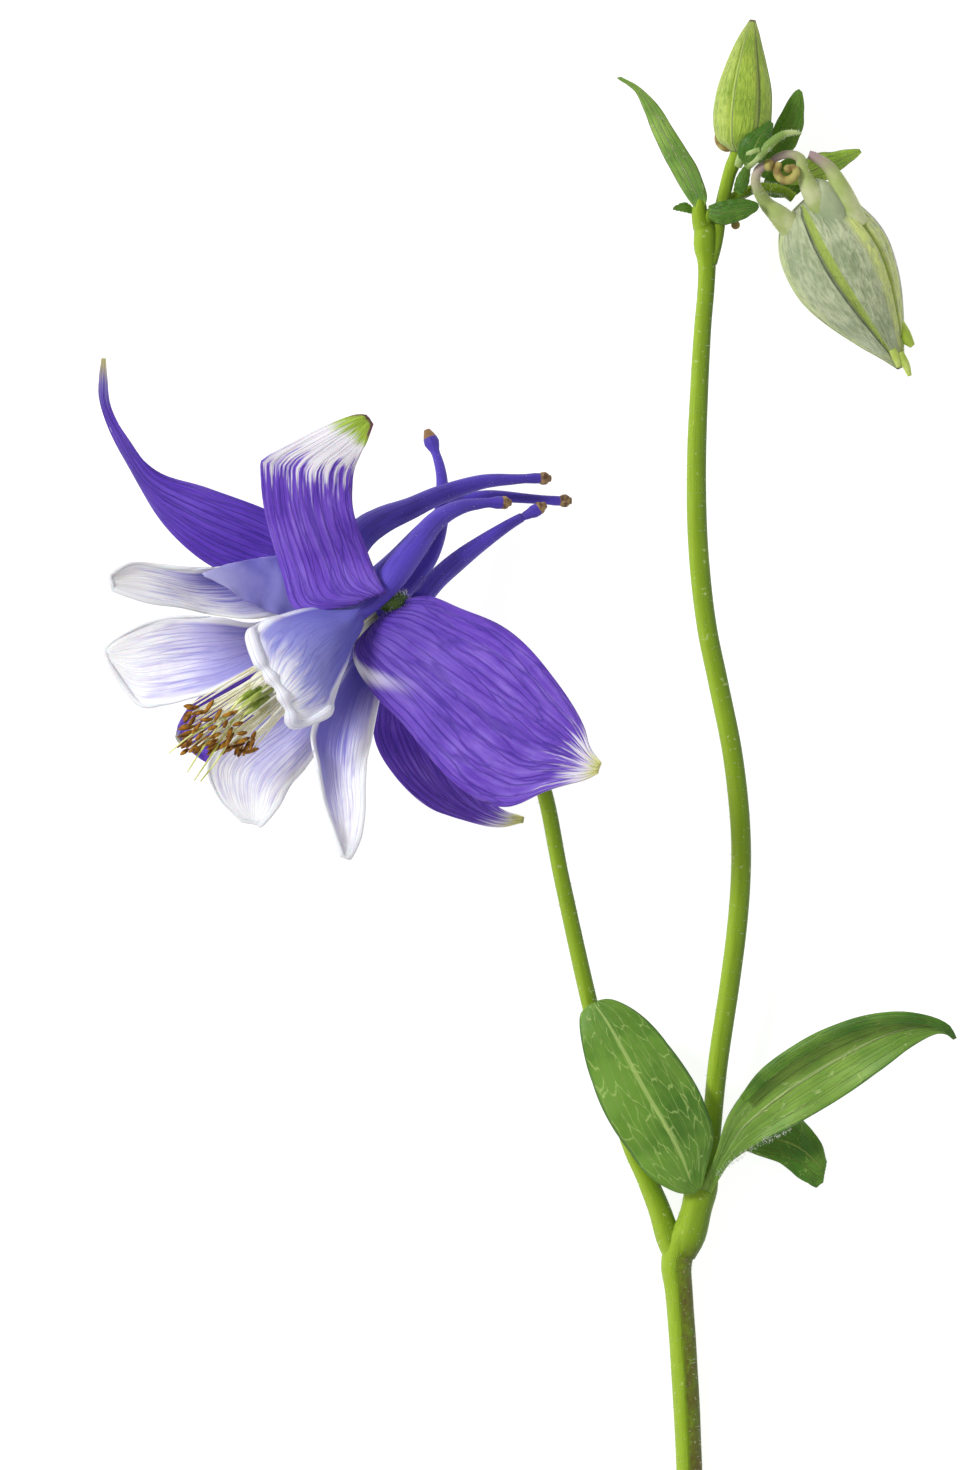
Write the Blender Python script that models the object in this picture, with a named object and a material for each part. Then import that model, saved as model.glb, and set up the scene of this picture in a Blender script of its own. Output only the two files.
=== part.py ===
"""Cut columbine stem with an open flower, two buds and one leaf of three leaflets, lying down.

Units are metres in the scene and millimetres in the tables below. +Z is up, the surface is z = 0.
The outlines are laid out on a picture grid: a place is (column, row, height), with column and row
in steps of GRID and the height in millimetres.
"""

import math

import bmesh
import bpy
import numpy as np
from mathutils import Vector

# Driving dimensions, in millimetres
MM = 0.001
GRID = 0.12
GRID_CENTRE = (526.1, 759.4)
SEPAL_THICK = 0.6
PETAL_THICK = 0.6
LEAF_THICK = 0.7
BRACT_THICK = 0.6
RECEPTACLE_RADIUS = 1.5
FILAMENT_RADIUS = 0.16
ANTHER_RADIUS = 0.34
ANTHER_LENGTH = 1.5
STAMEN_COUNT = 26

# How finely the forms are faceted
BLADE_ACROSS = 6
BLADE_ALONG = 10
SPUR_SIDES = 6
SPUR_RINGS = 18
STEM_SIDES = 8
BUD_SIDES = 10

# The flower looks down and to the left, and a little up at the viewer. A root is given by its
# place along the flower's axis, its distance out from it and its half width, in millimetres.
FLOWER_HEART = (386.0, 603.0, 19.0)
FLOWER_AXIS = Vector((-0.726, -0.561, 0.400)).normalized()
FLOWER_SIDE = Vector((-0.790, 0.614, 0.0)).normalized()
FLOWER_SIDE = (FLOWER_SIDE - FLOWER_AXIS * FLOWER_SIDE.dot(FLOWER_AXIS)).normalized()
FLOWER_FRONT = FLOWER_AXIS.cross(FLOWER_SIDE).normalized()
if FLOWER_FRONT.z < 0.0:
    FLOWER_FRONT.negate()
SEPAL_ROOT = (-0.2, 2.1, 0.35)
PETAL_ROOT = (1.3, 2.3, 0.45)
SEPAL_ANGLES = {"sepal_1": 108, "sepal_2": 36, "sepal_3": -38, "sepal_4": -108, "sepal_5": 180}
PETAL_ANGLES = {"petal_1": 72, "petal_2": 144, "petal_3": 0, "petal_4": -144, "petal_5": -72}

# Blades: one row for each station from base to tip, with a place on each edge and the depth
# of the hollow between them. A hollow above zero swells towards the viewer.
SEPALS = {
    "sepal_1": [
        ((358, 580, 17.0), (366, 566, 17.0), 0.0),
        ((315, 580, 16.2), (335, 545, 16.4), 0.3),
        ((262, 582, 15.6), (297, 527, 16.0), 0.8),
        ((218, 569, 14.6), (264, 509, 15.4), 1.2),
        ((183, 543, 13.6), (207, 489, 14.6), 1.2),
        ((149, 502, 12.4), (160, 474, 13.6), 0.8),
        ((121, 454, 11.2), (131, 440, 12.2), 0.4),
        ((101, 405, 10.2), (110, 408, 10.8), 0.2),
        ((99, 376, 9.6), (106, 376, 9.8), 0.0),
        ((101, 358, 9.2), (105, 358, 9.2), 0.0),
    ],
    "sepal_2": [
        ((374, 590, 22.0), (379, 585, 22.0), 0.0),
        ((349, 607, 23.4), (384, 590, 22.8), 0.0),
        ((299, 612, 24.4), (377, 576, 23.6), 0.3),
        ((283, 572, 25.0), (367, 550, 25.0), 0.6),
        ((267, 515, 26.0), (355, 512, 26.8), 1.0),
        ((263, 470, 27.2), (353, 486, 28.0), 0.8),
        ((268, 458, 28.0), (355, 472, 28.6), 0.6),
        ((304, 440, 29.0), (360, 460, 29.2), 0.4),
        ((338, 425, 30.0), (367, 447, 30.0), 0.2),
        ((358, 418, 30.6), (371, 436, 30.6), 0.0),
        ((368, 418, 31.0), (374, 427, 31.0), 0.0),
    ],
    "sepal_3": [
        ((396, 603, 22.2), (356, 652, 23.2), 0.0),
        ((429, 598, 23.4), (370, 688, 24.6), 0.8),
        ((462, 610, 24.6), (404, 724, 25.8), 1.0),
        ((500, 626, 25.8), (438, 766, 27.0), 1.2),
        ((531, 651, 27.0), (470, 794, 28.0), 1.2),
        ((560, 688, 28.2), (508, 806, 29.0), 1.0),
        ((580, 722, 29.4), (548, 791, 30.0), 0.6),
        ((590, 748, 30.4), (579, 781, 30.8), 0.3),
        ((600, 763, 31.4), (597, 772, 31.4), 0.0),
    ],
    "sepal_4": [
        ((403, 644, 15.6), (416, 636, 15.6), 0.0),
        ((380, 690, 14.6), (432, 665, 14.2), -0.4),
        ((374, 735, 13.4), (456, 710, 12.8), -0.6),
        ((394, 775, 12.2), (471, 752, 11.8), -0.6),
        ((430, 807, 10.8), (483, 783, 10.8), -0.5),
        ((466, 821, 9.8), (493, 802, 9.9), -0.3),
        ((496, 827, 8.9), (507, 812, 9.0), 0.0),
        ((523, 823, 8.0), (524, 817, 8.0), 0.0),
    ],
    "sepal_5": [
        ((366, 603, 13.8), (370, 610, 13.4), 0.0),
        ((338, 620, 10.6), (346, 634, 10.2), 0.0),
        ((298, 644, 6.0), (330, 690, 6.0), 0.0),
        ((250, 662, 1.8), (292, 742, 1.8), 0.0),
        ((218, 682, -0.4), (252, 768, -0.4), 0.0),
        ((192, 702, -0.4), (212, 766, -0.4), 0.0),
        ((180, 722, 0.9), (188, 752, 0.9), 0.0),
        ((174, 736, 2.0), (177, 742, 2.0), 0.0),
    ],
}
PETALS = {
    "petal_1": [
        ((348, 574, 20.4), (352, 599, 20.4), -1.2),
        ((312, 562, 20.8), (320, 606, 21.2), -1.8),
        ((272, 558, 22.4), (290, 612, 22.6), -2.0),
        ((230, 566, 24.8), (252, 620, 25.2), -2.0),
        ((195, 571, 27.2), (210, 613, 27.6), -1.6),
        ((159, 566, 29.2), (174, 607, 29.6), -1.0),
        ((131, 565, 30.6), (140, 600, 30.8), -0.5),
        ((113, 577, 31.6), (117, 590, 31.6), 0.0),
    ],
    "petal_2": [
        ((350, 592, 17.4), (354, 614, 17.0), -1.4),
        ((304, 606, 18.0), (316, 648, 17.4), -2.4),
        ((254, 624, 18.2), (262, 668, 17.8), -2.4),
        ((218, 618, 17.2), (216, 691, 17.0), -2.2),
        ((172, 617, 15.4), (174, 702, 15.4), -1.8),
        ((134, 629, 13.8), (140, 705, 13.8), -1.2),
        ((112, 638, 12.8), (118, 680, 12.8), -0.5),
        ((104, 650, 12.4), (110, 664, 12.4), 0.0),
    ],
    "petal_3": [
        ((374, 612, 24.0), (366, 602, 24.0), 1.0),
        ((361, 630, 25.0), (342, 607, 25.0), 1.8),
        ((347, 666, 26.6), (303, 611, 26.8), 3.0),
        ((336, 690, 29.0), (275, 618, 29.2), 3.2),
        ((330, 710, 31.4), (258, 629, 31.6), 2.6),
        ((311, 723, 33.4), (255, 640, 33.4), 1.8),
        ((296, 722, 34.6), (260, 664, 34.6), 0.8),
    ],
    "petal_4": [
        ((374, 622, 16.8), (384, 634, 17.0), -1.4),
        ((345, 640, 17.0), (376, 668, 18.6), -2.4),
        ((304, 672, 17.2), (353, 708, 19.0), -2.4),
        ((266, 712, 16.8), (320, 748, 18.2), -2.2),
        ((226, 742, 15.8), (300, 776, 16.8), -1.8),
        ((208, 770, 14.8), (282, 796, 15.6), -1.0),
        ((222, 802, 14.0), (273, 814, 14.6), -0.4),
        ((243, 821, 13.6), (262, 824, 13.8), 0.0),
    ],
    "petal_5": [
        ((388, 627, 21.5), (404, 627, 21.1), -0.8),
        ((358, 655, 22.0), (392, 660, 21.0), -2.0),
        ((334, 690, 23.4), (381, 694, 22.2), -2.4),
        ((314, 724, 25.0), (374, 730, 24.0), -2.4),
        ((317, 762, 27.2), (366, 768, 26.8), -2.2),
        ((327, 803, 29.4), (365, 812, 29.4), -1.6),
        ((336, 834, 31.2), (359, 844, 31.2), -0.7),
        ((344, 855, 32.4), (351, 856, 32.4), 0.0),
    ],
}

# Spurs: place and radius along the middle, from inside the petal to the knob
SPURS = {
    "petal_1": [
        (330, 584, 20.2, 1.2), (346, 560, 19.8, 1.7), (362, 535, 18.6, 1.75), (384, 520, 16.8, 1.5),
        (410, 509, 15.0, 1.2), (440, 495, 12.9, 1.0), (481, 482, 11.2, 0.75), (515, 479, 10.0, 0.5),
        (535, 478, 9.5, 0.42), (540, 478, 9.3, 0.75), (546, 478, 9.1, 0.78), (550, 478, 9.0, 0.3),
    ],
    "petal_2": [
        (335, 612, 15.7, 1.1), (364, 590, 14.1, 1.3), (395, 562, 11.7, 1.2), (425, 530, 8.8, 1.0),
        (452, 507, 7.2, 0.85), (485, 496, 6.4, 0.65), (530, 498, 5.9, 0.45), (556, 500, 5.7, 0.42),
        (561, 500, 5.6, 0.72), (567, 500, 5.5, 0.76), (571, 500, 5.5, 0.3),
    ],
    "petal_3": [
        (346, 622, 25.3, 1.1), (364, 612, 24.9, 0.9), (381, 604, 24.5, 0.7), (392, 592, 24.1, 1.25),
        (401, 575, 23.4, 1.6), (414, 550, 22.0, 1.4), (436, 522, 19.5, 1.05), (460, 508, 17.5, 0.75),
        (482, 504, 16.1, 0.5), (496, 503, 15.4, 0.42), (500, 503, 15.2, 0.72), (506, 503, 14.9, 0.76),
        (510, 503, 14.8, 0.3),
    ],
    "petal_4": [
        (362, 646, 16.0, 1.1), (382, 620, 14.6, 1.15), (402, 592, 12.6, 1.1), (426, 562, 11.4, 1.0),
        (438, 533, 10.5, 0.85), (442, 503, 9.8, 0.7), (441, 472, 8.8, 0.5), (434, 448, 7.8, 0.42),
        (432, 443, 7.6, 0.75), (429, 435, 7.3, 0.82), (427, 430, 7.2, 0.3),
    ],
    "petal_5": [
        (384, 650, 20.1, 0.95), (401, 626, 19.7, 1.05), (418, 604, 19.2, 1.1), (435, 582, 18.0, 1.1),
        (457, 562, 16.5, 1.05), (482, 543, 15.0, 0.8), (512, 523, 13.7, 0.5), (531, 513, 13.0, 0.42),
        (535, 511, 12.9, 0.66), (541, 507, 12.7, 0.7), (545, 505, 12.6, 0.3),
    ],
}

# Stalks: place and radius along the middle, each with its number of rings
STALKS = {
    "lower": (10, [
        (690, 1500, 1.35, 1.55), (690, 1470, 1.40, 1.56), (686, 1387, 2.1, 1.60),
        (680, 1300, 2.8, 1.65), (677, 1266, 3.1, 1.85), (684, 1240, 3.5, 1.9),
        (692, 1222, 3.8, 1.5),
    ]),
    "flower_stalk": (26, [
        (680, 1266, 3.2, 1.4), (669, 1240, 3.5, 1.5), (660, 1212, 3.8, 1.35), (646, 1178, 4.1, 1.2),
        (631, 1145, 4.4, 1.1), (612, 1085, 4.9, 1.0), (590, 1005, 5.5, 1.0), (562, 880, 6.6, 0.95),
        (545, 795, 7.8, 0.95), (520, 720, 9.2, 0.9), (484, 662, 11.2, 0.9), (448, 627, 13.4, 0.9),
        (421, 610, 15.6, 0.85), (402, 604, 17.3, 0.85), (386, 603, 18.8, 0.8),
    ]),
    "upper": (30, [
        (682, 1256, 3.4, 1.7), (690, 1236, 3.6, 2.0), (697, 1210, 3.9, 1.85), (702, 1188, 4.2, 2.0),
        (707, 1165, 4.4, 1.5), (712, 1130, 4.6, 1.2), (719, 1060, 5.1, 1.2), (731, 980, 5.7, 1.2),
        (740, 900, 6.3, 1.2), (741, 830, 6.7, 1.2), (733, 755, 7.1, 1.2), (718, 680, 7.5, 1.2),
        (706, 620, 7.8, 1.2), (698, 540, 8.1, 1.2), (697, 450, 8.4, 1.15), (702, 340, 8.7, 1.05),
        (706, 290, 8.8, 1.02), (707, 262, 8.9, 1.1), (705, 246, 9.0, 1.35), (705, 228, 9.1, 1.3),
        (702, 215, 9.2, 1.0),
    ]),
    "small_bud_stalk": (8, [
        (710, 262, 8.9, 0.9), (716, 240, 8.8, 0.85), (720, 215, 8.8, 0.8), (724, 195, 9.0, 0.8),
        (731, 168, 9.5, 0.8), (735, 158, 9.7, 0.8),
    ]),
    "large_bud_stalk": (9, [
        (719, 220, 8.6, 0.6), (732, 198, 8.2, 0.6), (751, 189, 7.7, 0.6), (766, 186, 7.2, 0.6),
        (783, 189, 6.8, 0.6), (794, 196, 6.5, 0.65),
    ]),
}

LEAFLETS = {
    "leaflet_1": [
        ((694, 1195, 6.9), (702, 1188, 6.9), 0.0),
        ((676, 1192, 7.4), (706, 1171, 7.4), 0.2),
        ((650, 1177, 7.9), (713, 1136, 7.7), 0.6),
        ((628, 1150, 8.3), (705, 1104, 8.1), 0.8),
        ((606, 1115, 8.7), (687, 1072, 8.4), 0.9),
        ((590, 1075, 8.9), (663, 1038, 8.6), 0.8),
        ((582, 1040, 8.8), (638, 1014, 8.6), 0.6),
        ((581, 1016, 8.5), (614, 1001, 8.4), 0.3),
        ((588, 1007, 8.3), (599, 1002, 8.3), 0.0),
    ],
    "leaflet_2": [
        ((712, 1178, 6.5), (720, 1181, 6.0), 0.0),
        ((718, 1150, 6.8), (731, 1163, 6.4), 0.0),
        ((731, 1112, 7.6), (756, 1146, 7.0), -0.3),
        ((762, 1073, 8.8), (794, 1126, 8.0), -0.8),
        ((802, 1042, 10.0), (838, 1101, 9.0), -1.0),
        ((850, 1022, 11.2), (881, 1070, 10.2), -0.8),
        ((893, 1014, 12.0), (915, 1045, 11.2), -0.4),
        ((932, 1020, 12.4), (938, 1033, 12.0), 0.0),
        ((953, 1032, 12.4), (954, 1037, 12.4), 0.0),
    ],
    "leaflet_3": [
        ((726, 1170, 3.4), (730, 1178, 3.4), 0.0),
        ((742, 1142, 3.2), (750, 1156, 3.2), 0.0),
        ((766, 1118, 3.0), (779, 1164, 2.8), 0.2),
        ((794, 1116, 2.9), (800, 1179, 2.6), 0.3),
        ((818, 1138, 2.5), (816, 1189, 2.3), 0.2),
        ((828, 1164, 2.2), (824, 1185, 2.0), 0.0),
    ],
}
BRACTS = {
    "bract_long": [
        ((697, 209, 10.9), (705, 206, 10.9), 0.0),
        ((687, 196, 11.1), (706, 193, 11.1), 0.3),
        ((671, 169, 11.6), (696, 166, 11.6), 0.4),
        ((656, 139, 12.0), (677, 136, 12.0), 0.4),
        ((645, 112, 12.3), (660, 109, 12.3), 0.2),
        ((636, 93, 12.6), (643, 90, 12.6), 0.0),
        ((617, 78, 12.8), (621, 77, 12.8), 0.0),
    ],
    "bract_left": [
        ((692, 213, 9.4), (693, 207, 9.4), 0.0),
        ((684, 211, 9.6), (685, 202, 9.6), 0.1),
        ((673, 209, 9.8), (674, 206, 9.8), 0.0),
    ],
    "bract_right": [
        ((709, 206, 10.9), (708, 217, 10.9), 0.0),
        ((720, 202, 11.0), (722, 224, 11.0), 0.4),
        ((738, 199, 11.1), (740, 220, 11.1), 0.4),
        ((752, 201, 11.2), (754, 212, 11.2), 0.2),
        ((758, 204, 11.2), (759, 207, 11.2), 0.0),
    ],
    "bract_leafy": [
        ((759, 174, 6.9), (765, 177, 6.9), 0.0),
        ((767, 150, 6.6), (779, 158, 6.6), 0.2),
        ((774, 128, 6.8), (795, 146, 6.8), 0.3),
        ((785, 107, 7.4), (804, 122, 7.4), 0.3),
        ((794, 92, 8.0), (804, 102, 8.0), 0.1),
        ((800, 88, 8.2), (803, 91, 8.2), 0.0),
    ],
    "bract_lower": [
        ((734, 190, 9.8), (741, 195, 9.8), 0.0),
        ((737, 178, 9.8), (748, 184, 9.8), 0.2),
        ((743, 168, 9.8), (750, 172, 9.8), 0.1),
        ((748, 163, 9.8), (751, 165, 9.8), 0.0),
    ],
    "bract_light": [
        ((787, 180, 6.3), (792, 184, 6.2), 0.0),
        ((812, 154, 4.6), (826, 178, 4.2), 0.4),
        ((834, 150, 4.0), (842, 167, 3.8), 0.3),
        ((852, 147, 3.6), (855, 157, 3.6), 0.1),
        ((861, 147, 3.4), (863, 150, 3.4), 0.0),
    ],
}

LARGE_BUD = [
    (804, 201, 6.3, 2.2), (809, 207, 6.2, 3.9), (818, 222, 6.1, 5.3), (830, 244, 6.0, 6.2),
    (845, 270, 5.9, 6.3), (862, 298, 5.8, 5.3), (880, 328, 5.7, 3.4), (893, 350, 5.6, 1.7),
    (902, 367, 5.5, 0.4),
]
LARGE_BUD_SPURS = [
    [(796, 230, 7.6, 1.7), (779, 214, 9.0, 1.25), (766, 202, 9.5, 0.85), (756, 184, 11.4, 0.6),
     (758, 171, 11.8, 0.55), (765, 165, 11.6, 0.6), (769, 166, 11.6, 0.7)],
    [(829, 214, 9.0, 1.8), (811, 190, 10.8, 1.2), (803, 170, 11.5, 0.75), (800, 158, 11.6, 0.6),
     (788, 154, 11.6, 0.5), (776, 158, 11.5, 0.45), (772, 162, 11.4, 0.4)],
    [(854, 224, 8.6, 1.9), (843, 192, 9.8, 1.25), (830, 168, 10.2, 0.8), (816, 157, 10.4, 0.6),
     (809, 154, 10.4, 0.5)],
]
SMALL_BUD = [
    (740, 151, 9.9, 0.9), (741, 144, 9.9, 2.2), (742, 130, 9.9, 3.2), (743, 112, 9.8, 3.5),
    (745, 88, 9.8, 3.25), (747, 65, 9.8, 2.5), (749, 45, 9.8, 1.7), (751, 32, 9.8, 1.1),
    (753, 19, 9.8, 0.35),
]
STYLE_TIPS = [(172, 753, 31.5), (190, 772, 31.0), (197, 780, 29.6), (203, 781, 28.6)]

# Colour, roughness for each material
COLOURS = {
    "violet_sepal": ((0.13, 0.06, 0.42), 0.55),
    "petal_white": ((0.72, 0.71, 0.86), 0.6),
    "stamen_gold": ((0.60, 0.42, 0.16), 0.7),
    "stem_green": ((0.20, 0.34, 0.03), 0.55),
    "leaf_green": ((0.12, 0.24, 0.06), 0.6),
    "bract_green": ((0.14, 0.26, 0.05), 0.6),
    "bud_green": ((0.36, 0.42, 0.20), 0.6),
}


def clear_scene():
    """Remove every object of the start scene."""
    for obj in list(bpy.data.objects):
        bpy.data.objects.remove(obj, do_unlink=True)


def spot(place):
    """World point of a place (column, row, height)."""
    column, row, height = place[:3]
    return Vector((
        (column - GRID_CENTRE[0]) * GRID * MM,
        (GRID_CENTRE[1] - row) * GRID * MM,
        height * MM,
    ))


def flower_direction(angle):
    """Unit vector away from the flower's axis, at an angle round it from the front."""
    turn = math.radians(angle)
    return FLOWER_FRONT * math.cos(turn) + FLOWER_SIDE * math.sin(turn)


def in_flower(along, out, angle):
    """World point at a distance along the flower's axis and out from it, in millimetres."""
    return spot(FLOWER_HEART) + (FLOWER_AXIS * along + flower_direction(angle) * out) * MM


def smooth_rows(rows, count):
    """Even rows read from a smooth curve through the given rows of numbers."""
    rows = np.array(rows, dtype=float)
    ends = np.vstack([2 * rows[0] - rows[1], rows, 2 * rows[-1] - rows[-2]])
    steps = np.linalg.norm(np.diff(rows[:, :3], axis=0), axis=1)
    knots = np.concatenate([[0.0], np.cumsum(np.maximum(steps, 1e-9))])
    out = []
    for distance in np.linspace(0.0, knots[-1], count):
        k = int(min(np.searchsorted(knots, distance, side="right") - 1, len(rows) - 2))
        t = (distance - knots[k]) / (knots[k + 1] - knots[k])
        a, b, c, d = ends[k], ends[k + 1], ends[k + 2], ends[k + 3]
        out.append(0.5 * (2 * b + (c - a) * t + (2 * a - 5 * b + 4 * c - d) * t ** 2
                          + (3 * b - a - 3 * c + d) * t ** 3))
    return np.array(out)


def make_material(name):
    """Principled material with a plain colour."""
    material = bpy.data.materials.new(name)
    material.use_nodes = True
    colour, roughness = COLOURS[name]
    shader = material.node_tree.nodes["Principled BSDF"]
    shader.inputs["Base Color"].default_value = (*colour, 1.0)
    shader.inputs["Roughness"].default_value = roughness
    shader.inputs["Metallic"].default_value = 0.0
    return material


def add_object(name, bm, material=None):
    """Put a finished bmesh into the scene as one named object."""
    mesh = bpy.data.meshes.new(name)
    bm.to_mesh(mesh)
    bm.free()
    obj = bpy.data.objects.new(name, mesh)
    bpy.context.scene.collection.objects.link(obj)
    if material:
        mesh.materials.append(material)
    return obj


def mapped_grid(across, along, place):
    """Grid of faces whose points a function of (across 0 to 1, along 0 to 1) puts in place."""
    bm = bmesh.new()
    bmesh.ops.create_grid(bm, x_segments=across, y_segments=along, size=1.0)
    for vert in bm.verts:
        vert.co = place((vert.co.x + 1.0) / 2.0, (vert.co.y + 1.0) / 2.0)
    return bm


def blade(name, stations, thickness, material=None, across=BLADE_ACROSS, along=BLADE_ALONG):
    """Thin curved blade between two edges, closed, with the same facets on both faces."""
    rows = [[*left, *right, hollow * MM] for left, right, hollow in stations]
    rows = smooth_rows(rows, along + 1)
    ups = []
    for k in range(along, -1, -1):
        before, after = rows[max(k - 1, 0)], rows[min(k + 1, along)]
        run = Vector(after[0:3] + after[3:6] - before[0:3] - before[3:6])
        up = run.cross(Vector(rows[k][3:6] - rows[k][0:3])).normalized()
        if up.dot(ups[0] if ups else Vector((0.0, 0.0, 1.0))) < 0.0:
            up.negate()
        ups.insert(0, up)

    def place(u, v):
        k = int(round(v * along))
        left, right = Vector(rows[k][0:3]), Vector(rows[k][3:6])
        swell = rows[k][6] * (1.0 - (2.0 * u - 1.0) ** 2)
        point = left.lerp(right, u) + ups[k] * swell
        point.z = max(point.z, 0.5 * thickness * MM)
        return point

    bm = mapped_grid(across, along, place)
    bmesh.ops.triangulate(bm, faces=bm.faces[:])
    obj = add_object(name, bm, material)
    solidify = obj.modifiers.new("Thickness", "SOLIDIFY")
    solidify.thickness = thickness * MM
    solidify.offset = 0.0
    solidify.use_even_offset = False
    return obj


def tube(name, stations, sides, rings, material=None):
    """Closed round tube through places with a radius each. Nothing reaches below z = 0."""
    rows = smooth_rows([[*spot(s), s[3] * MM] for s in stations], rings + 1)
    centres = [Vector(row[:3]) for row in rows]
    frames = []
    side = Vector((0.0, 0.0, 1.0))
    for k in range(rings + 1):
        run = (centres[min(k + 1, rings)] - centres[max(k - 1, 0)]).normalized()
        side = (side - run * side.dot(run)).normalized()
        frames.append((side.copy(), run.cross(side)))

    def place(u, v):
        k = int(round(v * rings))
        turn = 2.0 * math.pi * (u + 0.5 / sides)
        first, second = frames[k]
        point = centres[k] + (first * math.cos(turn) + second * math.sin(turn)) * rows[k][3]
        point.z = max(point.z, 0.0)
        return point

    bm = mapped_grid(sides, rings, place)
    bmesh.ops.remove_doubles(bm, verts=bm.verts[:], dist=1e-7)
    bmesh.ops.holes_fill(bm, edges=[e for e in bm.edges if e.is_boundary], sides=0)
    bmesh.ops.recalc_face_normals(bm, faces=bm.faces[:])
    return add_object(name, bm, material)


def fuse(name, pieces, material, solver="EXACT"):
    """Join overlapping solids into one closed body and drop the loose ones."""
    first, others = pieces[0], pieces[1:]
    group = bpy.data.collections.new(name + "_pieces")
    for piece in others:
        group.objects.link(piece)
    union = first.modifiers.new("Union", "BOOLEAN")
    union.operation = "UNION"
    union.operand_type = "COLLECTION"
    union.collection = group
    union.solver = solver
    bpy.context.view_layer.update()
    graph = bpy.context.evaluated_depsgraph_get()
    mesh = bpy.data.meshes.new_from_object(first.evaluated_get(graph))
    for piece in pieces:
        bpy.data.objects.remove(piece, do_unlink=True)
    bpy.data.collections.remove(group)
    mesh.name = name
    mesh.materials.clear()
    mesh.materials.append(material)
    obj = bpy.data.objects.new(name, mesh)
    bpy.context.scene.collection.objects.link(obj)
    return obj


def world_stations(stations):
    """Stations of a blade with their places turned into world points."""
    return [(spot(left), spot(right), hollow) for left, right, hollow in stations]


def with_root(stations, angle, along, out, half_width):
    """World stations of a flower organ, with its narrow root beside the receptacle put first."""
    places = world_stations(stations)
    middle = in_flower(along, out, angle)
    half = (places[0][1] - places[0][0]).normalized() * half_width * MM
    return [(middle - half, middle + half, 0.0)] + places


def build_sepals(material):
    for name, stations in SEPALS.items():
        places = with_root(stations, SEPAL_ANGLES[name], *SEPAL_ROOT)
        blade(name, places, SEPAL_THICK, material)


def build_petals(material):
    for name, stations in PETALS.items():
        places = with_root(stations, PETAL_ANGLES[name], *PETAL_ROOT)
        leaf = blade(name + "_blade", places, PETAL_THICK)
        spur = tube(name + "_spur", SPURS[name], SPUR_SIDES, SPUR_RINGS)
        fuse(name, [leaf, spur], material, "MANIFOLD")


def build_stem(material):
    pieces = [tube(name, stations, STEM_SIDES, rings) for name, (rings, stations) in STALKS.items()]
    heart = bmesh.new()
    bmesh.ops.create_icosphere(heart, subdivisions=2, radius=RECEPTACLE_RADIUS * MM)
    bmesh.ops.translate(heart, verts=heart.verts[:], vec=spot(FLOWER_HEART))
    pieces.append(add_object("receptacle", heart))
    fuse("stem", pieces, material)


def spread_point(index, count, spread):
    """Even places in a disc, by the sunflower rule."""
    golden = math.pi * (3.0 - math.sqrt(5.0))
    reach = spread * math.sqrt((index + 0.5) / count)
    return reach * math.cos(index * golden), reach * math.sin(index * golden)


def thin_tube(name, start, end, bulge, radii, sides, rings):
    """Slim tube between two world points, bowed away from the flower's axis."""
    stations = []
    for t in (0.0, 0.5, 1.0):
        point = start.lerp(end, t) + bulge * math.sin(math.pi * t)
        column = point.x / (GRID * MM) + GRID_CENTRE[0]
        row = GRID_CENTRE[1] - point.y / (GRID * MM)
        radius = radii[0] + (radii[1] - radii[0]) * t
        stations.append((column, row, point.z / MM, radius))
    return tube(name, stations, sides, rings)


def build_stamens(material):
    """Filaments, anthers and styles grow from one slim column."""
    column_start, column_end = in_flower(2.2, 0.0, 0.0), in_flower(16.0, 0.0, 0.0)
    pieces = [thin_tube("column", column_start, column_end, Vector(), (0.9, 1.9), 8, 4)]
    for index in range(STAMEN_COUNT):
        x, y = spread_point(index, STAMEN_COUNT, 1.0)
        reach = 23.0 + 4.5 * (1.0 - math.hypot(x, y)) + 1.2 * math.sin(index * 2.4)
        across = FLOWER_FRONT * x + FLOWER_SIDE * y
        start = in_flower(13.0, 0.0, 0.0) + across * 1.1 * MM
        end = in_flower(reach, 0.0, 0.0) + across * 4.4 * MM
        run = (end - start).normalized()
        pieces.append(thin_tube("filament", start, end + run * 0.4 * MM, across * 0.3 * MM,
                                (FILAMENT_RADIUS, FILAMENT_RADIUS), 3, 2))
        head = [end + run * ANTHER_LENGTH * MM * t for t in (0.0, 1.0)]
        pieces.append(thin_tube("anther", head[0], head[1], Vector(),
                                (ANTHER_RADIUS, ANTHER_RADIUS * 0.8), 4, 2))
    for tip in STYLE_TIPS:
        start = in_flower(14.0, 0.2, 0.0)
        pieces.append(thin_tube("style", start, spot(tip), Vector(), (0.3, 0.2), 4, 3))
    fuse("stamens", pieces, material)


def build_buds(material):
    body = tube("large_bud_body", LARGE_BUD, BUD_SIDES, 9)
    spurs = [tube("bud_spur", stations, 5, 7) for stations in LARGE_BUD_SPURS]
    fuse("large_bud", [body] + spurs, material)
    tube("small_bud", SMALL_BUD, BUD_SIDES, 8, material)


def build_leaves(leaf_material, bract_material):
    for name, stations in LEAFLETS.items():
        blade(name, world_stations(stations), LEAF_THICK, leaf_material)
    for name, stations in BRACTS.items():
        blade(name, world_stations(stations), BRACT_THICK, bract_material, across=3, along=6)


def main():
    clear_scene()
    materials = {name: make_material(name) for name in COLOURS}
    build_stem(materials["stem_green"])
    build_sepals(materials["violet_sepal"])
    build_petals(materials["petal_white"])
    build_stamens(materials["stamen_gold"])
    build_buds(materials["bud_green"])
    build_leaves(materials["leaf_green"], materials["bract_green"])


main()
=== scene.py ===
import math
import random

import bmesh
import bpy
import numpy as np
from mathutils import Matrix, Vector, noise


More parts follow.
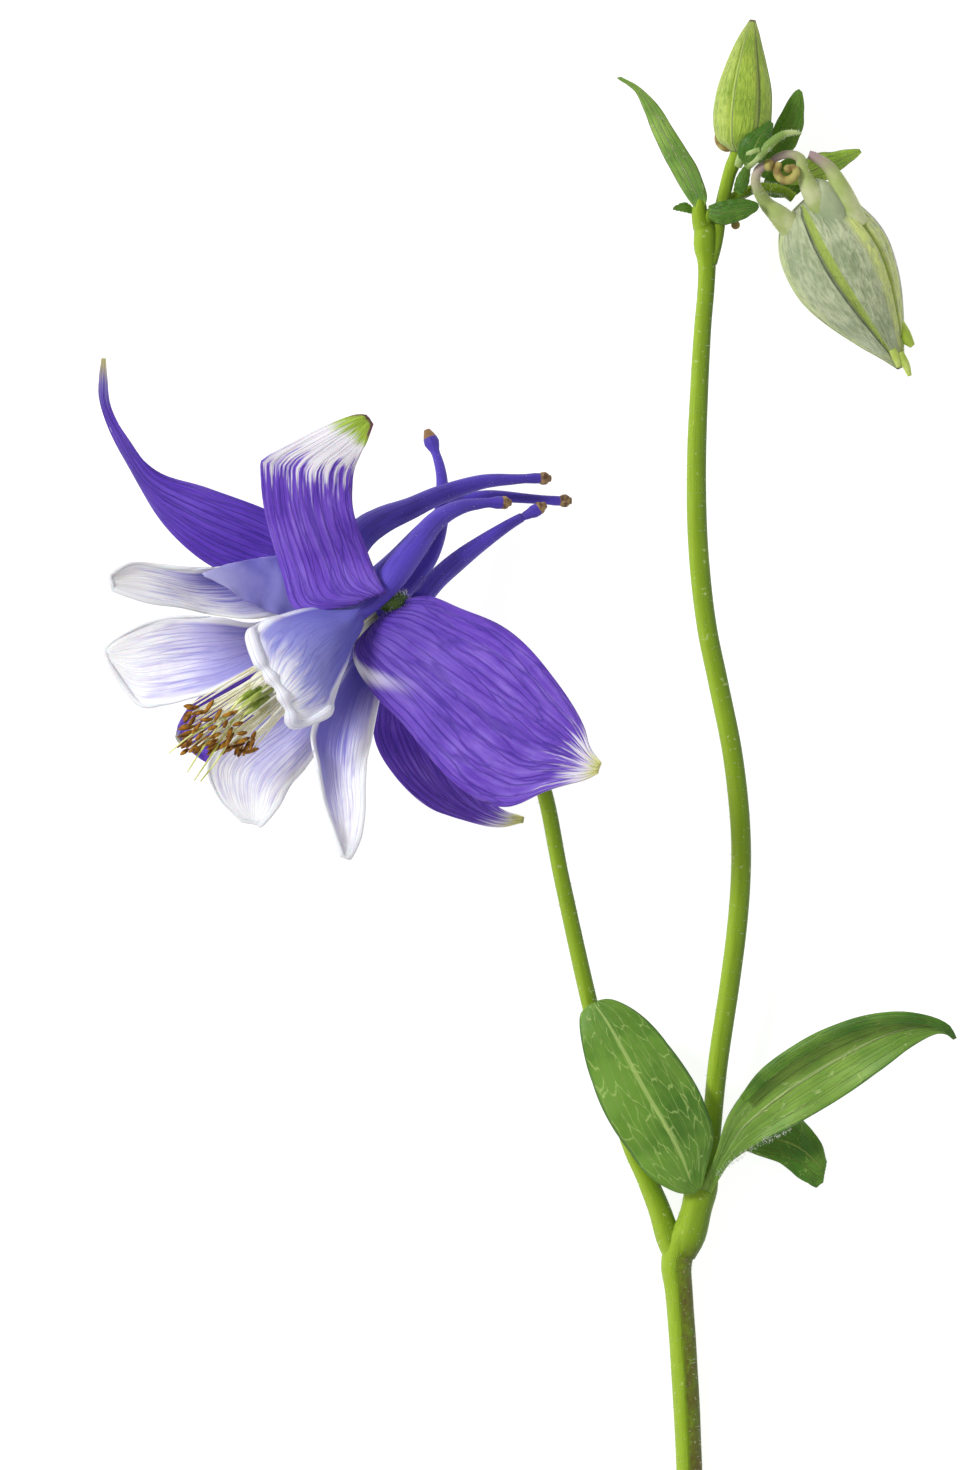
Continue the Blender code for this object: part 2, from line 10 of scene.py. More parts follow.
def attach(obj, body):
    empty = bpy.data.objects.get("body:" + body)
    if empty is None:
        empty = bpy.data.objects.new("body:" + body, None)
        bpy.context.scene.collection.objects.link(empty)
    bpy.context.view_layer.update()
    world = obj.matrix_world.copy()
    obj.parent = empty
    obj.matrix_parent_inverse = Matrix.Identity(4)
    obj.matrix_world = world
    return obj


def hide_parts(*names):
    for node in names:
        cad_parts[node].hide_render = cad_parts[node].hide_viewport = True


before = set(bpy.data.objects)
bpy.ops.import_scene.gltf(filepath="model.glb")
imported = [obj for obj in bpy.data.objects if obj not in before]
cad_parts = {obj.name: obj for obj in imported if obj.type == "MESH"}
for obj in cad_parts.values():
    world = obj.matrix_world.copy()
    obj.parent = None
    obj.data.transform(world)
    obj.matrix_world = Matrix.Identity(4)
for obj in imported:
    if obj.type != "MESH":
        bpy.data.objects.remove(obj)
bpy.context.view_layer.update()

# A place is (column, row, height): column and row on a picture grid, height in millimetres
MM = 0.001
GRID = 0.12
GRID_CENTRE = (526.1, 759.4)
UP = Vector((0.0, 0.0, 1.0))

# Camera, lights and floor
VIEW_CENTRE = (490.0, 735.0)
VIEW_ROWS = 1470
FOCUS_HEIGHT = 12.0
LENS = 400.0
SENSOR = 36.0
CLIP = (0.01, 20.0)
LIGHTS = {"key": ((-0.75, 0.4, 0.85), 0.3, 10.0), "fill": ((0.7, -0.2, 0.8), 0.8, 1.2)}
WORLD_GLOW = 0.44
FLOOR_GLOW = 0.86
FLOOR_SIZE = 2.0
FLOOR_GREYS = ((0.32, 0.32, 0.32, 1.0), (0.36, 0.36, 0.36, 1.0))
WHITE = (1.0, 1.0, 1.0, 1.0)

# Thickness of the blades and sizes of the small round forms, in millimetres
SEPAL_THICK = 0.32
PETAL_THICK = 0.28
LEAF_THICK = 0.32
BRACT_THICK = 0.3
RECEPTACLE_RADIUS = 1.3
RECEPTACLE_STRETCH = (1.5, 1.0, 1.7)
KNOB_RADIUS = 0.78
KNOB_FLAT = 0.55 * KNOB_RADIUS * MM
LOBE_STRETCH = (1.9, 1.7, 3.6)
LOBE_PLACE = (829, 205, 9.9)
HAIR_RADIUS = 0.028

# The open flower: its heart, its axis from the stalk to the anthers, and two directions across
RECEPTACLE = (394.0, 603.0, 21.5)
FLOWER_HEART = (386.0, 603.0, 19.0)
FLOWER_AXIS = Vector((-0.726, -0.561, 0.400)).normalized()
FLOWER_SIDE = Vector((-0.790, 0.614, 0.0)).normalized()
FLOWER_SIDE = (FLOWER_SIDE - FLOWER_AXIS * FLOWER_SIDE.dot(FLOWER_AXIS)).normalized()
FLOWER_FRONT = FLOWER_AXIS.cross(FLOWER_SIDE).normalized()
if FLOWER_FRONT.z < 0.0:
    FLOWER_FRONT.negate()
SEPAL_ANGLES = {"sepal_1": 108, "sepal_2": 36, "sepal_3": -38, "sepal_4": -108, "sepal_5": 180}
PETAL_ANGLES = {"petal_1": 72, "petal_2": 144, "petal_3": 0, "petal_4": -144, "petal_5": -72}
SEPAL_ROOT = (-0.2, 2.1, 0.35)
RECEPTACLE_DOWN = [(384, 604, 22.4, 1.1), (410, 601, 22.4, 1.1)]

# Petal sheets: points round a ring, rings along, rings of the spur and of the blade before they
# are joined, the ring of the blade that comes first, and the spur's share of the map
PETAL_AROUND = 40
PETAL_RINGS = 100
SPUR_RINGS = 18
BLADE_RINGS = 40
BLADE_START = 5
BLADE_STEP = 5
SPUR_SHARE = 0.4
PETAL_RIPPLE = 0.5
ROLL_STEP = 6
RIM_MAP = 0.97

# Stamens: how many, where the filaments leave, bend and end, and the bundle they stand in
ANTHERS = 56
GOLDEN_ANGLE = math.pi * (3.0 - math.sqrt(5.0))
FILAMENT_START = 2.4
FILAMENT_SPREAD = (1.4, 3.1, 4.6)
BUNDLE = [(3.0, 1.1), (9.0, 2.0), (15.0, 2.5), (19.5, 2.5), (22.0, 1.6)]

# Blades: one row for each station from base to tip, with a place on each edge and the depth
# of the hollow between them. A hollow above zero swells towards the viewer.
SEPALS = {
    "sepal_1": [
        (358, 580, 17, 366, 566, 17, 0), (315, 580, 16.2, 335, 545, 16.4, 0.3),
        (262, 582, 15.6, 297, 527, 16, 0.8), (218, 569, 14.6, 264, 509, 15.4, 1.2),
        (183, 543, 13.6, 207, 489, 14.6, 1.2), (149, 502, 12.4, 160, 474, 13.6, 0.8),
        (121, 454, 11.2, 131, 440, 12.2, 0.4), (101, 405, 10.2, 110, 408, 10.8, 0.2),
        (99, 376, 9.6, 106, 376, 9.8, 0), (101, 358, 9.2, 105, 358, 9.2, 0),
    ],
    "sepal_2": [
        (374, 592, 25.4, 382, 587, 25.4, 0), (349, 607, 27, 385, 592, 26.6, 0),
        (299, 612, 26, 377, 576, 25.8, 0.3), (283, 572, 25, 367, 550, 25, 0.6),
        (267, 515, 26, 355, 512, 26.8, 1), (263, 470, 27.2, 353, 486, 28, 0.8),
        (268, 458, 28, 355, 472, 28.6, 0.6), (304, 440, 29, 360, 460, 29.2, 0.4),
        (338, 425, 30, 367, 447, 30, 0.2), (358, 418, 30.6, 371, 436, 30.6, 0),
        (368, 418, 31, 374, 427, 31, 0),
    ],
    "sepal_3": [
        (396, 603, 22.2, 356, 652, 23.2, 0), (429, 598, 23.4, 370, 688, 24.6, 0.8),
        (462, 610, 24.6, 404, 724, 25.8, 1), (500, 626, 25.8, 438, 766, 27, 1.2),
        (531, 651, 27, 470, 794, 28, 1.2), (560, 688, 28.2, 508, 806, 29, 1),
        (580, 722, 29.4, 548, 791, 30, 0.6), (590, 748, 30.4, 579, 781, 30.8, 0.3),
        (600, 763, 31.4, 597, 772, 31.4, 0),
    ],
    "sepal_4": [
        (403, 644, 15.6, 416, 636, 15.6, 0), (380, 690, 14.6, 432, 665, 14.2, -0.4),
        (374, 735, 13.4, 456, 710, 12.8, -0.6), (394, 775, 12.2, 471, 752, 11.8, -0.6),
        (430, 807, 10.8, 483, 783, 10.8, -0.5), (466, 821, 9.8, 493, 802, 9.9, -0.3),
        (496, 827, 8.9, 507, 812, 9, 0), (523, 823, 8, 524, 817, 8, 0),
    ],
    "sepal_5": [
        (366, 603, 13.8, 370, 610, 13.4, 0), (338, 620, 10.6, 346, 634, 10.2, 0),
        (298, 644, 6, 330, 690, 6, 0), (250, 662, 1.8, 292, 742, 1.8, 0),
        (218, 682, -0.4, 252, 768, -0.4, 0), (192, 702, -0.4, 212, 766, -0.4, 0),
        (180, 722, 0.9, 188, 752, 0.9, 0), (174, 736, 2, 177, 742, 2, 0),
    ],
}
PETALS = {
    "petal_1": [
        (348, 574, 20.4, 352, 599, 20.4, -1.2), (312, 562, 20.8, 320, 606, 21.2, -1.8),
        (272, 558, 22.4, 290, 612, 22.6, -2), (230, 566, 24.8, 252, 620, 25.2, -2),
        (195, 571, 27.2, 210, 613, 27.6, -1.6), (159, 566, 29.2, 174, 607, 29.6, -1),
        (131, 565, 30.6, 140, 600, 30.8, -0.5), (113, 577, 31.6, 117, 590, 31.6, 0),
    ],
    "petal_2": [
        (350, 592, 17.4, 354, 614, 17, -1.4), (304, 606, 18, 316, 648, 17.4, -2.4),
        (254, 624, 18.2, 262, 668, 17.8, -2.4), (218, 618, 17.2, 216, 691, 17, -2.2),
        (172, 617, 15.4, 174, 702, 15.4, -1.8), (134, 629, 13.8, 140, 705, 13.8, -1.2),
        (112, 638, 12.8, 118, 680, 12.8, -0.5), (104, 650, 12.4, 110, 664, 12.4, 0),
    ],
    "petal_3": [
        (374, 612, 24, 366, 602, 24, 1), (361, 630, 25, 342, 607, 25, 1.8),
        (347, 666, 26.6, 303, 611, 26.8, 3), (336, 690, 29, 275, 618, 29.2, 3.2),
        (330, 710, 31.4, 258, 629, 31.6, 2.6), (311, 723, 33.4, 255, 640, 33.4, 1.8),
        (296, 722, 34.6, 260, 664, 34.6, 0.8),
    ],
    "petal_4": [
        (374, 622, 16.8, 384, 634, 17, -1.4), (345, 640, 17, 376, 668, 18.6, -2.4),
        (304, 672, 17.2, 353, 708, 19, -2.4), (266, 712, 16.8, 320, 748, 18.2, -2.2),
        (226, 742, 15.8, 300, 776, 16.8, -1.8), (208, 770, 14.8, 282, 796, 15.6, -1),
        (222, 802, 14, 273, 814, 14.6, -0.4), (243, 821, 13.6, 262, 824, 13.8, 0),
    ],
    "petal_5": [
        (388, 627, 21.5, 404, 627, 21.1, -0.8), (358, 655, 22, 392, 660, 21, -2),
        (334, 690, 23.4, 381, 694, 22.2, -2.4), (314, 724, 25, 374, 730, 24, -2.4),
        (317, 762, 27.2, 366, 768, 26.8, -2.2), (327, 803, 29.4, 365, 812, 29.4, -1.6),
        (336, 834, 31.2, 359, 844, 31.2, -0.7), (344, 855, 32.4, 351, 856, 32.4, 0),
    ],
}
# Spurs: place and radius along the middle, from inside the petal to the knob
SPURS = {
    "petal_1": [
        (330, 584, 20.2, 1.2), (346, 560, 19.8, 1.7), (362, 535, 18.6, 1.75), (384, 520, 16.8, 1.5),
        (410, 509, 15, 1.2), (440, 495, 12.9, 1), (481, 482, 11.2, 0.75), (515, 479, 10, 0.5),
        (535, 478, 9.5, 0.42), (540, 478, 9.3, 0.75), (546, 478, 9.1, 0.78), (550, 478, 9, 0.3),
    ],
    "petal_2": [
        (335, 612, 15.7, 1.1), (364, 590, 14.1, 1.3), (395, 562, 11.7, 1.2), (425, 530, 8.8, 1),
        (452, 507, 7.2, 0.85), (485, 496, 6.4, 0.65), (530, 498, 5.9, 0.45), (556, 500, 5.7, 0.42),
        (561, 500, 5.6, 0.72), (567, 500, 5.5, 0.76), (571, 500, 5.5, 0.3),
    ],
    "petal_3": [
        (346, 622, 25.3, 1.1), (362, 612, 24.8, 0.9), (374, 604, 24.3, 0.8), (385, 591, 23.9, 1.15),
        (396, 574, 23.2, 1.55), (414, 550, 22, 1.4), (436, 522, 19.5, 1.05), (460, 508, 17.5, 0.75),
        (482, 504, 16.1, 0.5), (496, 503, 15.4, 0.42), (500, 503, 15.2, 0.72),
        (506, 503, 14.9, 0.76), (510, 503, 14.8, 0.3),
    ],
    "petal_4": [
        (362, 646, 16, 1.1), (382, 620, 14.6, 1.15), (402, 592, 12.6, 1.1), (426, 562, 11.4, 1),
        (438, 533, 10.5, 0.85), (442, 503, 9.8, 0.7), (441, 472, 8.8, 0.5), (434, 448, 7.8, 0.42),
        (432, 443, 7.6, 0.75), (429, 435, 7.3, 0.82), (427, 430, 7.2, 0.3),
    ],
    "petal_5": [
        (384, 650, 20.1, 0.95), (401, 626, 19.7, 1.05), (418, 604, 19.2, 1.1), (435, 582, 18, 1.1),
        (457, 562, 16.5, 1.05), (482, 543, 15, 0.8), (512, 523, 13.7, 0.5), (531, 513, 13, 0.42),
        (535, 511, 12.9, 0.66), (541, 507, 12.7, 0.7), (545, 505, 12.6, 0.3),
    ],
}
# Stalks: place and radius along the middle, each with its number of rings
STALKS = {
    "lower": (10, [
        (690, 1500, 1.35, 1.55), (690, 1470, 1.4, 1.56), (686, 1387, 2.1, 1.6),
        (680, 1300, 2.8, 1.65), (677, 1266, 3.1, 1.85), (684, 1240, 3.5, 1.9),
        (692, 1222, 3.8, 1.5),
    ]),
    "flower_stalk": (26, [
        (680, 1266, 3.2, 1.4), (669, 1240, 3.5, 1.5), (660, 1212, 3.8, 1.35), (646, 1178, 4.1, 1.2),
        (631, 1145, 4.4, 1.1), (612, 1085, 4.9, 1), (590, 1005, 5.5, 1), (562, 880, 6.6, 0.95),
        (545, 795, 7.8, 0.95), (520, 720, 9.2, 0.9), (484, 662, 11.2, 0.9), (448, 627, 13.4, 0.9),
        (421, 610, 15.6, 0.85), (402, 604, 17.3, 0.85), (386, 603, 18.8, 0.8),
    ]),
    "upper": (30, [
        (682, 1256, 3.4, 1.7), (690, 1236, 3.6, 2), (697, 1210, 3.9, 1.85), (702, 1188, 4.2, 2),
        (707, 1165, 4.4, 1.5), (712, 1130, 4.6, 1.2), (719, 1060, 5.1, 1.2), (731, 980, 5.7, 1.2),
        (740, 900, 6.3, 1.2), (741, 830, 6.7, 1.2), (733, 755, 7.1, 1.2), (718, 680, 7.5, 1.2),
        (706, 620, 7.8, 1.2), (698, 540, 8.1, 1.2), (697, 450, 8.4, 1.15), (702, 340, 8.7, 1.05),
        (706, 290, 8.8, 1.02), (707, 262, 8.9, 1.1), (705, 246, 9, 1.35), (705, 228, 9.1, 1.3),
        (702, 215, 9.2, 1),
    ]),
    "small_bud_stalk": (8, [
        (710, 262, 8.9, 0.9), (716, 240, 8.8, 0.85), (720, 215, 8.8, 0.8), (724, 195, 9, 0.8),
        (731, 168, 9.5, 0.8), (735, 158, 9.7, 0.8),
    ]),
    "large_bud_stalk": (9, [
        (719, 220, 8.6, 0.6), (732, 198, 8.2, 0.6), (751, 189, 7.7, 0.6), (766, 186, 7.2, 0.6),
        (783, 189, 6.8, 0.6), (794, 196, 6.5, 0.65),
    ]),
}
LEAFLETS = {
    "leaflet_1": [
        (694, 1195, 6.9, 702, 1188, 6.9, 0), (676, 1192, 7.4, 706, 1171, 7.4, 0.2),
        (650, 1177, 7.9, 713, 1136, 7.7, 0.6), (628, 1150, 8.3, 705, 1104, 8.1, 0.8),
        (606, 1115, 8.7, 687, 1072, 8.4, 0.9), (590, 1075, 8.9, 663, 1038, 8.6, 0.8),
        (582, 1040, 8.8, 638, 1014, 8.6, 0.6), (581, 1016, 8.5, 614, 1001, 8.4, 0.3),
        (588, 1007, 8.3, 599, 1002, 8.3, 0),
    ],
    "leaflet_2": [
        (702, 1190, 6.3, 712, 1194, 5.8, 0), (710, 1172, 6.5, 720, 1179, 6, 0),
        (718, 1150, 6.8, 731, 1163, 6.4, 0), (731, 1112, 7.6, 756, 1146, 7, -0.3),
        (762, 1073, 8.8, 794, 1126, 8, -0.8), (802, 1042, 10, 838, 1101, 9, -1),
        (850, 1022, 11.2, 881, 1070, 10.2, -0.8), (893, 1014, 12, 915, 1045, 11.2, -0.4),
        (932, 1020, 12.4, 938, 1033, 12, 0), (953, 1032, 12.4, 954, 1037, 12.4, 0),
    ],
    "leaflet_3": [
        (736, 1146, 3.4, 739, 1152, 3.4, 0), (746, 1136, 3.2, 753, 1154, 3.2, 0),
        (766, 1118, 3, 779, 1164, 2.8, 0.2), (794, 1116, 2.9, 800, 1179, 2.6, 0.3),
        (818, 1138, 2.5, 816, 1189, 2.3, 0.2), (828, 1164, 2.2, 824, 1185, 2, 0),
    ],
}
BRACTS = {
    "bract_long": [
        (697, 209, 10.9, 705, 206, 10.9, 0), (687, 196, 11.1, 706, 193, 11.1, 0.3),
        (671, 169, 11.6, 696, 166, 11.6, 0.4), (656, 139, 12, 677, 136, 12, 0.4),
        (645, 112, 12.3, 660, 109, 12.3, 0.2), (636, 93, 12.6, 643, 90, 12.6, 0),
        (617, 78, 12.8, 621, 77, 12.8, 0),
    ],
    "bract_left": [
        (692, 213, 9.4, 693, 207, 9.4, 0), (684, 211, 9.6, 685, 202, 9.6, 0.1),
        (673, 209, 9.8, 674, 206, 9.8, 0),
    ],
    "bract_right": [
        (709, 206, 10.9, 708, 217, 10.9, 0), (720, 202, 11, 722, 224, 11, 0.4),
        (738, 199, 11.1, 740, 220, 11.1, 0.4), (752, 201, 11.2, 754, 212, 11.2, 0.2),
        (758, 204, 11.2, 759, 207, 11.2, 0),
    ],
    "bract_leafy": [
        (759, 174, 6.9, 765, 177, 6.9, 0), (767, 150, 6.6, 779, 158, 6.6, 0.2),
        (774, 128, 6.8, 795, 146, 6.8, 0.3), (785, 107, 7.4, 804, 122, 7.4, 0.3),
        (794, 92, 8, 804, 102, 8, 0.1), (800, 88, 8.2, 803, 91, 8.2, 0),
    ],
    "bract_lower": [
        (734, 190, 9.8, 741, 195, 9.8, 0), (737, 178, 9.8, 748, 184, 9.8, 0.2),
        (743, 168, 9.8, 750, 172, 9.8, 0.1), (748, 163, 9.8, 751, 165, 9.8, 0),
    ],
    "bract_light": [
        (787, 180, 6.3, 792, 184, 6.2, 0), (812, 154, 4.6, 826, 178, 4.2, 0.4),
        (834, 150, 4, 842, 167, 3.8, 0.3), (852, 147, 3.6, 855, 157, 3.6, 0.1),
        (861, 147, 3.4, 863, 150, 3.4, 0),
    ],
}
# Buds: place and radius along the middle, and the seams between their sepals as
# (place round the bud, width, side that covers)
LARGE_BUD = [
    (804, 201, 6.3, 2.2), (809, 207, 6.2, 3.9), (818, 222, 6.1, 5.3), (830, 244, 6, 6.2),
    (845, 270, 5.9, 6.3), (862, 298, 5.8, 5.3), (880, 328, 5.7, 3.4), (893, 350, 5.6, 1.7),
    (902, 367, 5.5, 0.4),
]
LARGE_BUD_SPURS = [
    [(796, 230, 7.6, 1.7), (779, 214, 9, 1.25), (766, 202, 9.5, 0.85), (756, 184, 11.4, 0.6),
     (758, 171, 11.8, 0.55), (765, 165, 11.6, 0.6), (769, 166, 11.6, 0.7)],
    [(829, 214, 9, 1.8), (811, 190, 10.8, 1.2), (803, 170, 11.5, 0.75), (800, 158, 11.6, 0.6),
     (788, 154, 11.6, 0.5), (776, 158, 11.5, 0.45), (772, 162, 11.4, 0.4)],
    [(854, 224, 8.6, 1.9), (843, 192, 9.8, 1.25), (830, 168, 10.2, 0.8), (816, 157, 10.4, 0.6),
     (809, 154, 10.4, 0.5)],
]
SMALL_BUD = [
    (740, 152, 9.9, 1.3), (741, 144, 9.9, 2.7), (742, 130, 9.9, 3.35), (743, 112, 9.8, 3.5),
    (745, 88, 9.8, 3.25), (747, 65, 9.8, 2.5), (749, 45, 9.8, 1.7), (751, 32, 9.8, 1.1),
    (753, 19, 9.8, 0.35),
]
LARGE_BUD_SEAMS = [
    (0.532, 0.03, 1), (0.36, 0.014, 1), (0.22, 0.014, 1), (0.72, 0.012, -1), (0.92, 0.03, 1),
    (0.08, 0.03, 1),
]
SMALL_BUD_SEAMS = [
    (0.585, 0.022, -1), (0.43, 0.018, 1), (0.32, 0.016, 1), (0.7, 0.018, -1), (0.9, 0.03, 1),
    (0.1, 0.03, 1),
]
STYLE_TIPS = [(172, 753, 31.5), (190, 772, 31), (197, 780, 29.6), (203, 781, 28.6)]
# Small forms round the buds and on the blades
STALK_JOINTS = [
    [(703, 226, 9.2, 1.2), (700, 214, 10, 1), (700, 203, 10.7, 0.75), (699, 194, 11, 0.4)],
    [(728, 178, 9.2, 0.75), (735, 160, 9.8, 0.85), (740, 147, 9.9, 0.9)],
    [(706, 222, 9.6, 0.7), (710, 213, 10.3, 0.6), (716, 210, 10.7, 0.35)],
]
PETAL_1_BACK = [
    (330, 552, 22.6, 334, 616, 22.6, 0), (300, 555, 23.4, 300, 620, 23.4, 0.3),
    (270, 558, 24.6, 272, 613, 24.6, 0.3), (240, 563, 26.4, 247, 601, 26.4, 0.2),
    (220, 569, 27.8, 226, 587, 27.8, 0.1), (205, 575, 28.9, 208, 578, 28.9, 0),
]
SEPAL_1_FOLD = [
    (103, 398, 9.9, 105, 402, 9.9, 0), (106, 417, 10.6, 116, 424, 10.6, 0.2),
    (117, 440, 11.4, 132, 448, 11.4, 0.2), (132, 459, 12.2, 143, 462, 12.2, 0.1),
    (147, 470, 12.6, 152, 471, 12.6, 0),
]
BUD_KNOBS = [
    (769, 165, 11.8, 0.75), (788, 169, 12.6, 0.55), (736, 224, 8.4, 0.55), (733, 144, 10.4, 0.6),
]
BUD_CURLS = [
    [(779, 163, 12.2, 0.4), (777, 173, 12.5, 0.5), (783, 180, 12.6, 0.55), (791, 179, 12.6, 0.55),
     (796, 173, 12.6, 0.5), (793, 168, 12.6, 0.45), (788, 169, 12.6, 0.4)],
    [(719, 129, 9.9, 0.35), (718, 139, 10.2, 0.4), (722, 146, 10.4, 0.42), (728, 148, 10.4, 0.42),
     (733, 144, 10.4, 0.42)],
]
BUD_TIPS = [
    [(898, 322, 6.2, 0.9), (906, 335, 6.2, 0.85), (914, 345, 6.2, 0.35)],
    [(900, 352, 6.4, 0.6), (907, 364, 6.4, 0.5), (911, 375, 6.4, 0.25)],
    [(893, 348, 7, 0.55), (899, 360, 6.6, 0.5), (900, 366, 6.4, 0.3)],
]
YOUNG_LEAVES = {
    "leaflet_2_rim": [
        (741, 1097, 8.7, 746, 1103, 8.7, 0), (762, 1070, 9.5, 771, 1079, 9.5, 0.2),
        (804, 1040, 10.9, 811, 1051, 10.9, 0.3), (850, 1020, 12.1, 854, 1031, 12.1, 0.3),
        (893, 1012, 12.9, 895, 1023, 12.9, 0.3), (928, 1016, 13.2, 928, 1025, 13.2, 0.2),
        (948, 1025, 13, 944, 1032, 13, 0.2), (956, 1038, 12.4, 953, 1039, 12.4, 0),
    ],
    "young_leaf_front": [
        (741, 162, 12.6, 746, 165, 12.6, 0), (738, 150, 13.3, 763, 160, 12.8, 0.4),
        (744, 138, 13.5, 769, 148, 13.2, 0.5), (757, 130, 12.8, 771, 136, 12.8, 0.3),
        (769, 121, 12.2, 773, 124, 12.2, 0),
    ],
    "young_leaf_back": [
        (764, 192, 4.8, 776, 196, 4.8, 0), (768, 172, 5, 798, 192, 4.8, 0.3),
        (785, 158, 5, 806, 180, 4.8, 0.3), (799, 152, 4.8, 807, 160, 4.8, 0),
    ],
}
SHOOTS = [
    [(747, 167, 12.2, 0.5), (756, 158, 12.9, 0.6), (768, 146, 13.6, 0.6), (781, 136, 13.6, 0.5),
     (793, 133, 13.4, 0.35), (801, 134, 13.2, 0.15)],
    [(738, 166, 12, 0.5), (742, 157, 12.6, 0.6), (750, 152, 13.4, 0.5), (760, 150, 13.8, 0.35)],
]
LEAF_FRINGE = [
    (716, 1180, 6.6, 0.15), (731, 1164, 6.9, 0.15), (757, 1147, 7.5, 0.15), (794, 1127, 8.5, 0.15),
]
# Shine of every surface, and how deep light goes into it in metres
SPECULAR = 0.3
LIGHT_DEPTH = 0.001
# Painted shade colours: deep violet in patches over the petals' spurs, and a dark green line beside
# each seam of the buds
SPUR_SHADE = (0.030, 0.016, 0.18, 1.0)
SEAM_SHADOW = (0.05, 0.09, 0.03, 1.0)

# Plain finishes: two colours, scale of the mottling, roughness, relief, colour at the far end
PLAIN = {
    "sepal_inside": ("B4BCE6", "E2E6F6", 260.0, 0.5, 0.0002),
    "petal_back": ("6660BC", "8F8BD6", 150.0, 0.5, 0.0002, "B4B3E6"),
    "spur_knob": ("5A4030", "A88A5C", 1400.0, 0.6, 0.0002),
    "hair_white": ("DDE3D0", "F6F8F0", 900.0, 0.5),
    "receptacle_green": ("2E4A1C", "54702E", 500.0, 0.7),
    "filament_cream": ("E8E4BE", "FCFAEC", 500.0, 0.5),
    "anther_gold": ("5E3606", "B07C1E", 1300.0, 0.7, 0.0002),
    "style_pale": ("C2CC5A", "ECEFA8", 400.0, 0.45),
    "carpel_green": ("8EA83A", "BCC865", 400.0, 0.5),
    "bud_spur": ("A4B668", "CCD29E", 260.0, 0.55, 0.0001, "A88E92"),
    "knob_tan": ("86703C", "B4AC60", 700.0, 0.6),
    "bud_tip_green": ("9DB83A", "C8D678", 300.0, 0.55),
    "shoot_green": ("7E9C4A", "B9CC86", 300.0, 0.55),
}
# Leaf finishes: light, dark and vein colours, veins, edge colour, relief, strength of the net
LEAF_LOOKS = {
    "leaf_upper": ("6C9832", "48741E", "AECA70", 6, "3E6A2C", 0.35, 0.6),
    "leaf_under": ("88AE46", "6C9634", "BAD284", 6, "4A7830", 0.9, 0.5),
    "leaf_small": ("66922A", "3C6C16", "A2C25C", 4),
    "leaf_narrow": ("94BA54", "5E8E30", "D8E6AC", 4, "6A4A2C"),
    "leaf_fresh": ("ACCE50", "84AC34", "D0E28C", 4, "7A8A38"),
}
LEAFLET_SHAPES = {
    "leaflet_1": ("leaf_upper", 0.4, 0.12),
    "leaflet_2": ("leaf_under", 0.4, 0.1),
    "leaflet_3": ("leaf_small", 0.3, 0.1),
}
BRACT_FINISHES = {"bract_long": "leaf_narrow", "bract_light": "leaf_fresh"}
VIOLET = dict(light="9274DC", middle="6840BE", dark="3A1E90")
SEPAL_LOOKS = {
    "sepal_1": dict(light="6C46C6", middle="522CAC", dark="2E1682", tip="CFC98A", tip_start=0.93,
                    patch="8E88D0", patch_start=0.86),
    "sepal_2": dict(VIOLET, tip="9CBB38", tip_start=0.875, patch="F0EEF0", patch_start=0.66,
                    fray=0.6, tip_edge="6A4548"),
    "sepal_3": dict(VIOLET, tip="E2E48E", tip_start=0.925, patch="ECE8F2", patch_start=0.82,
                    fray=0.44, claw="F0EEF8"),
    "sepal_4": dict(VIOLET, tip="E0E48A", tip_start=0.91, patch="F2F0F6", patch_start=0.84),
    "sepal_5": dict(VIOLET, tip="D8E080", tip_start=0.96, patch="8E7EDC", patch_start=0.9),
}
# Petals: blade and hood colours, where the white rim starts, lean of the colours to one side,
# share of the blade with a rolled edge, radius of the roll
PETAL_LOOKS = {
    "petal_1": ("C6C6EE", "7C78CA", 0.82, 0.30, 0.45, 0.3),
    "petal_2": ("BEBCEA", "7E79CC", 0.90, 0.0, 0.40, 0.3),
    "petal_3": ("9698DC", "6C6AC4", 0.97, 0.0, 0.55, 0.7),
    "petal_4": ("C8C8EE", "827ED0", 0.88, 0.0, 0.40, 0.25),
    "petal_5": ("C8C8EE", "7670C6", 0.88, 0.30, 0.40, 0.25),
}
# Blushes of the buds: from and to round the bud, colour, strength
LARGE_BUD_BLUSH = [(0.27, 0.40, "CAD67C", 1.0), (0.10, 0.25, "A4909A", 0.7),
                   (0.66, 0.95, "BCCC80", 0.8)]
SMALL_BUD_BLUSH = [(0.20, 0.40, "C0D268", 0.7)]


def spot(place):
    """World point of a place."""
    column, row, height = place[:3]
    return Vector(((column - GRID_CENTRE[0]) * GRID * MM, (GRID_CENTRE[1] - row) * GRID * MM,
                   height * MM))


def place_of(point, radius):
    """Place and radius of a tube station at a world point."""
    return (point.x / (GRID * MM) + GRID_CENTRE[0], GRID_CENTRE[1] - point.y / (GRID * MM),
            point.z / MM, radius)


def in_flower(along, out=0.0, angle=0.0):
    """World point at a distance along the flower's axis and out from it, in millimetres."""
    turn = math.radians(angle)
    outward = FLOWER_FRONT * math.cos(turn) + FLOWER_SIDE * math.sin(turn)
    return spot(FLOWER_HEART) + (FLOWER_AXIS * along + outward * out) * MM


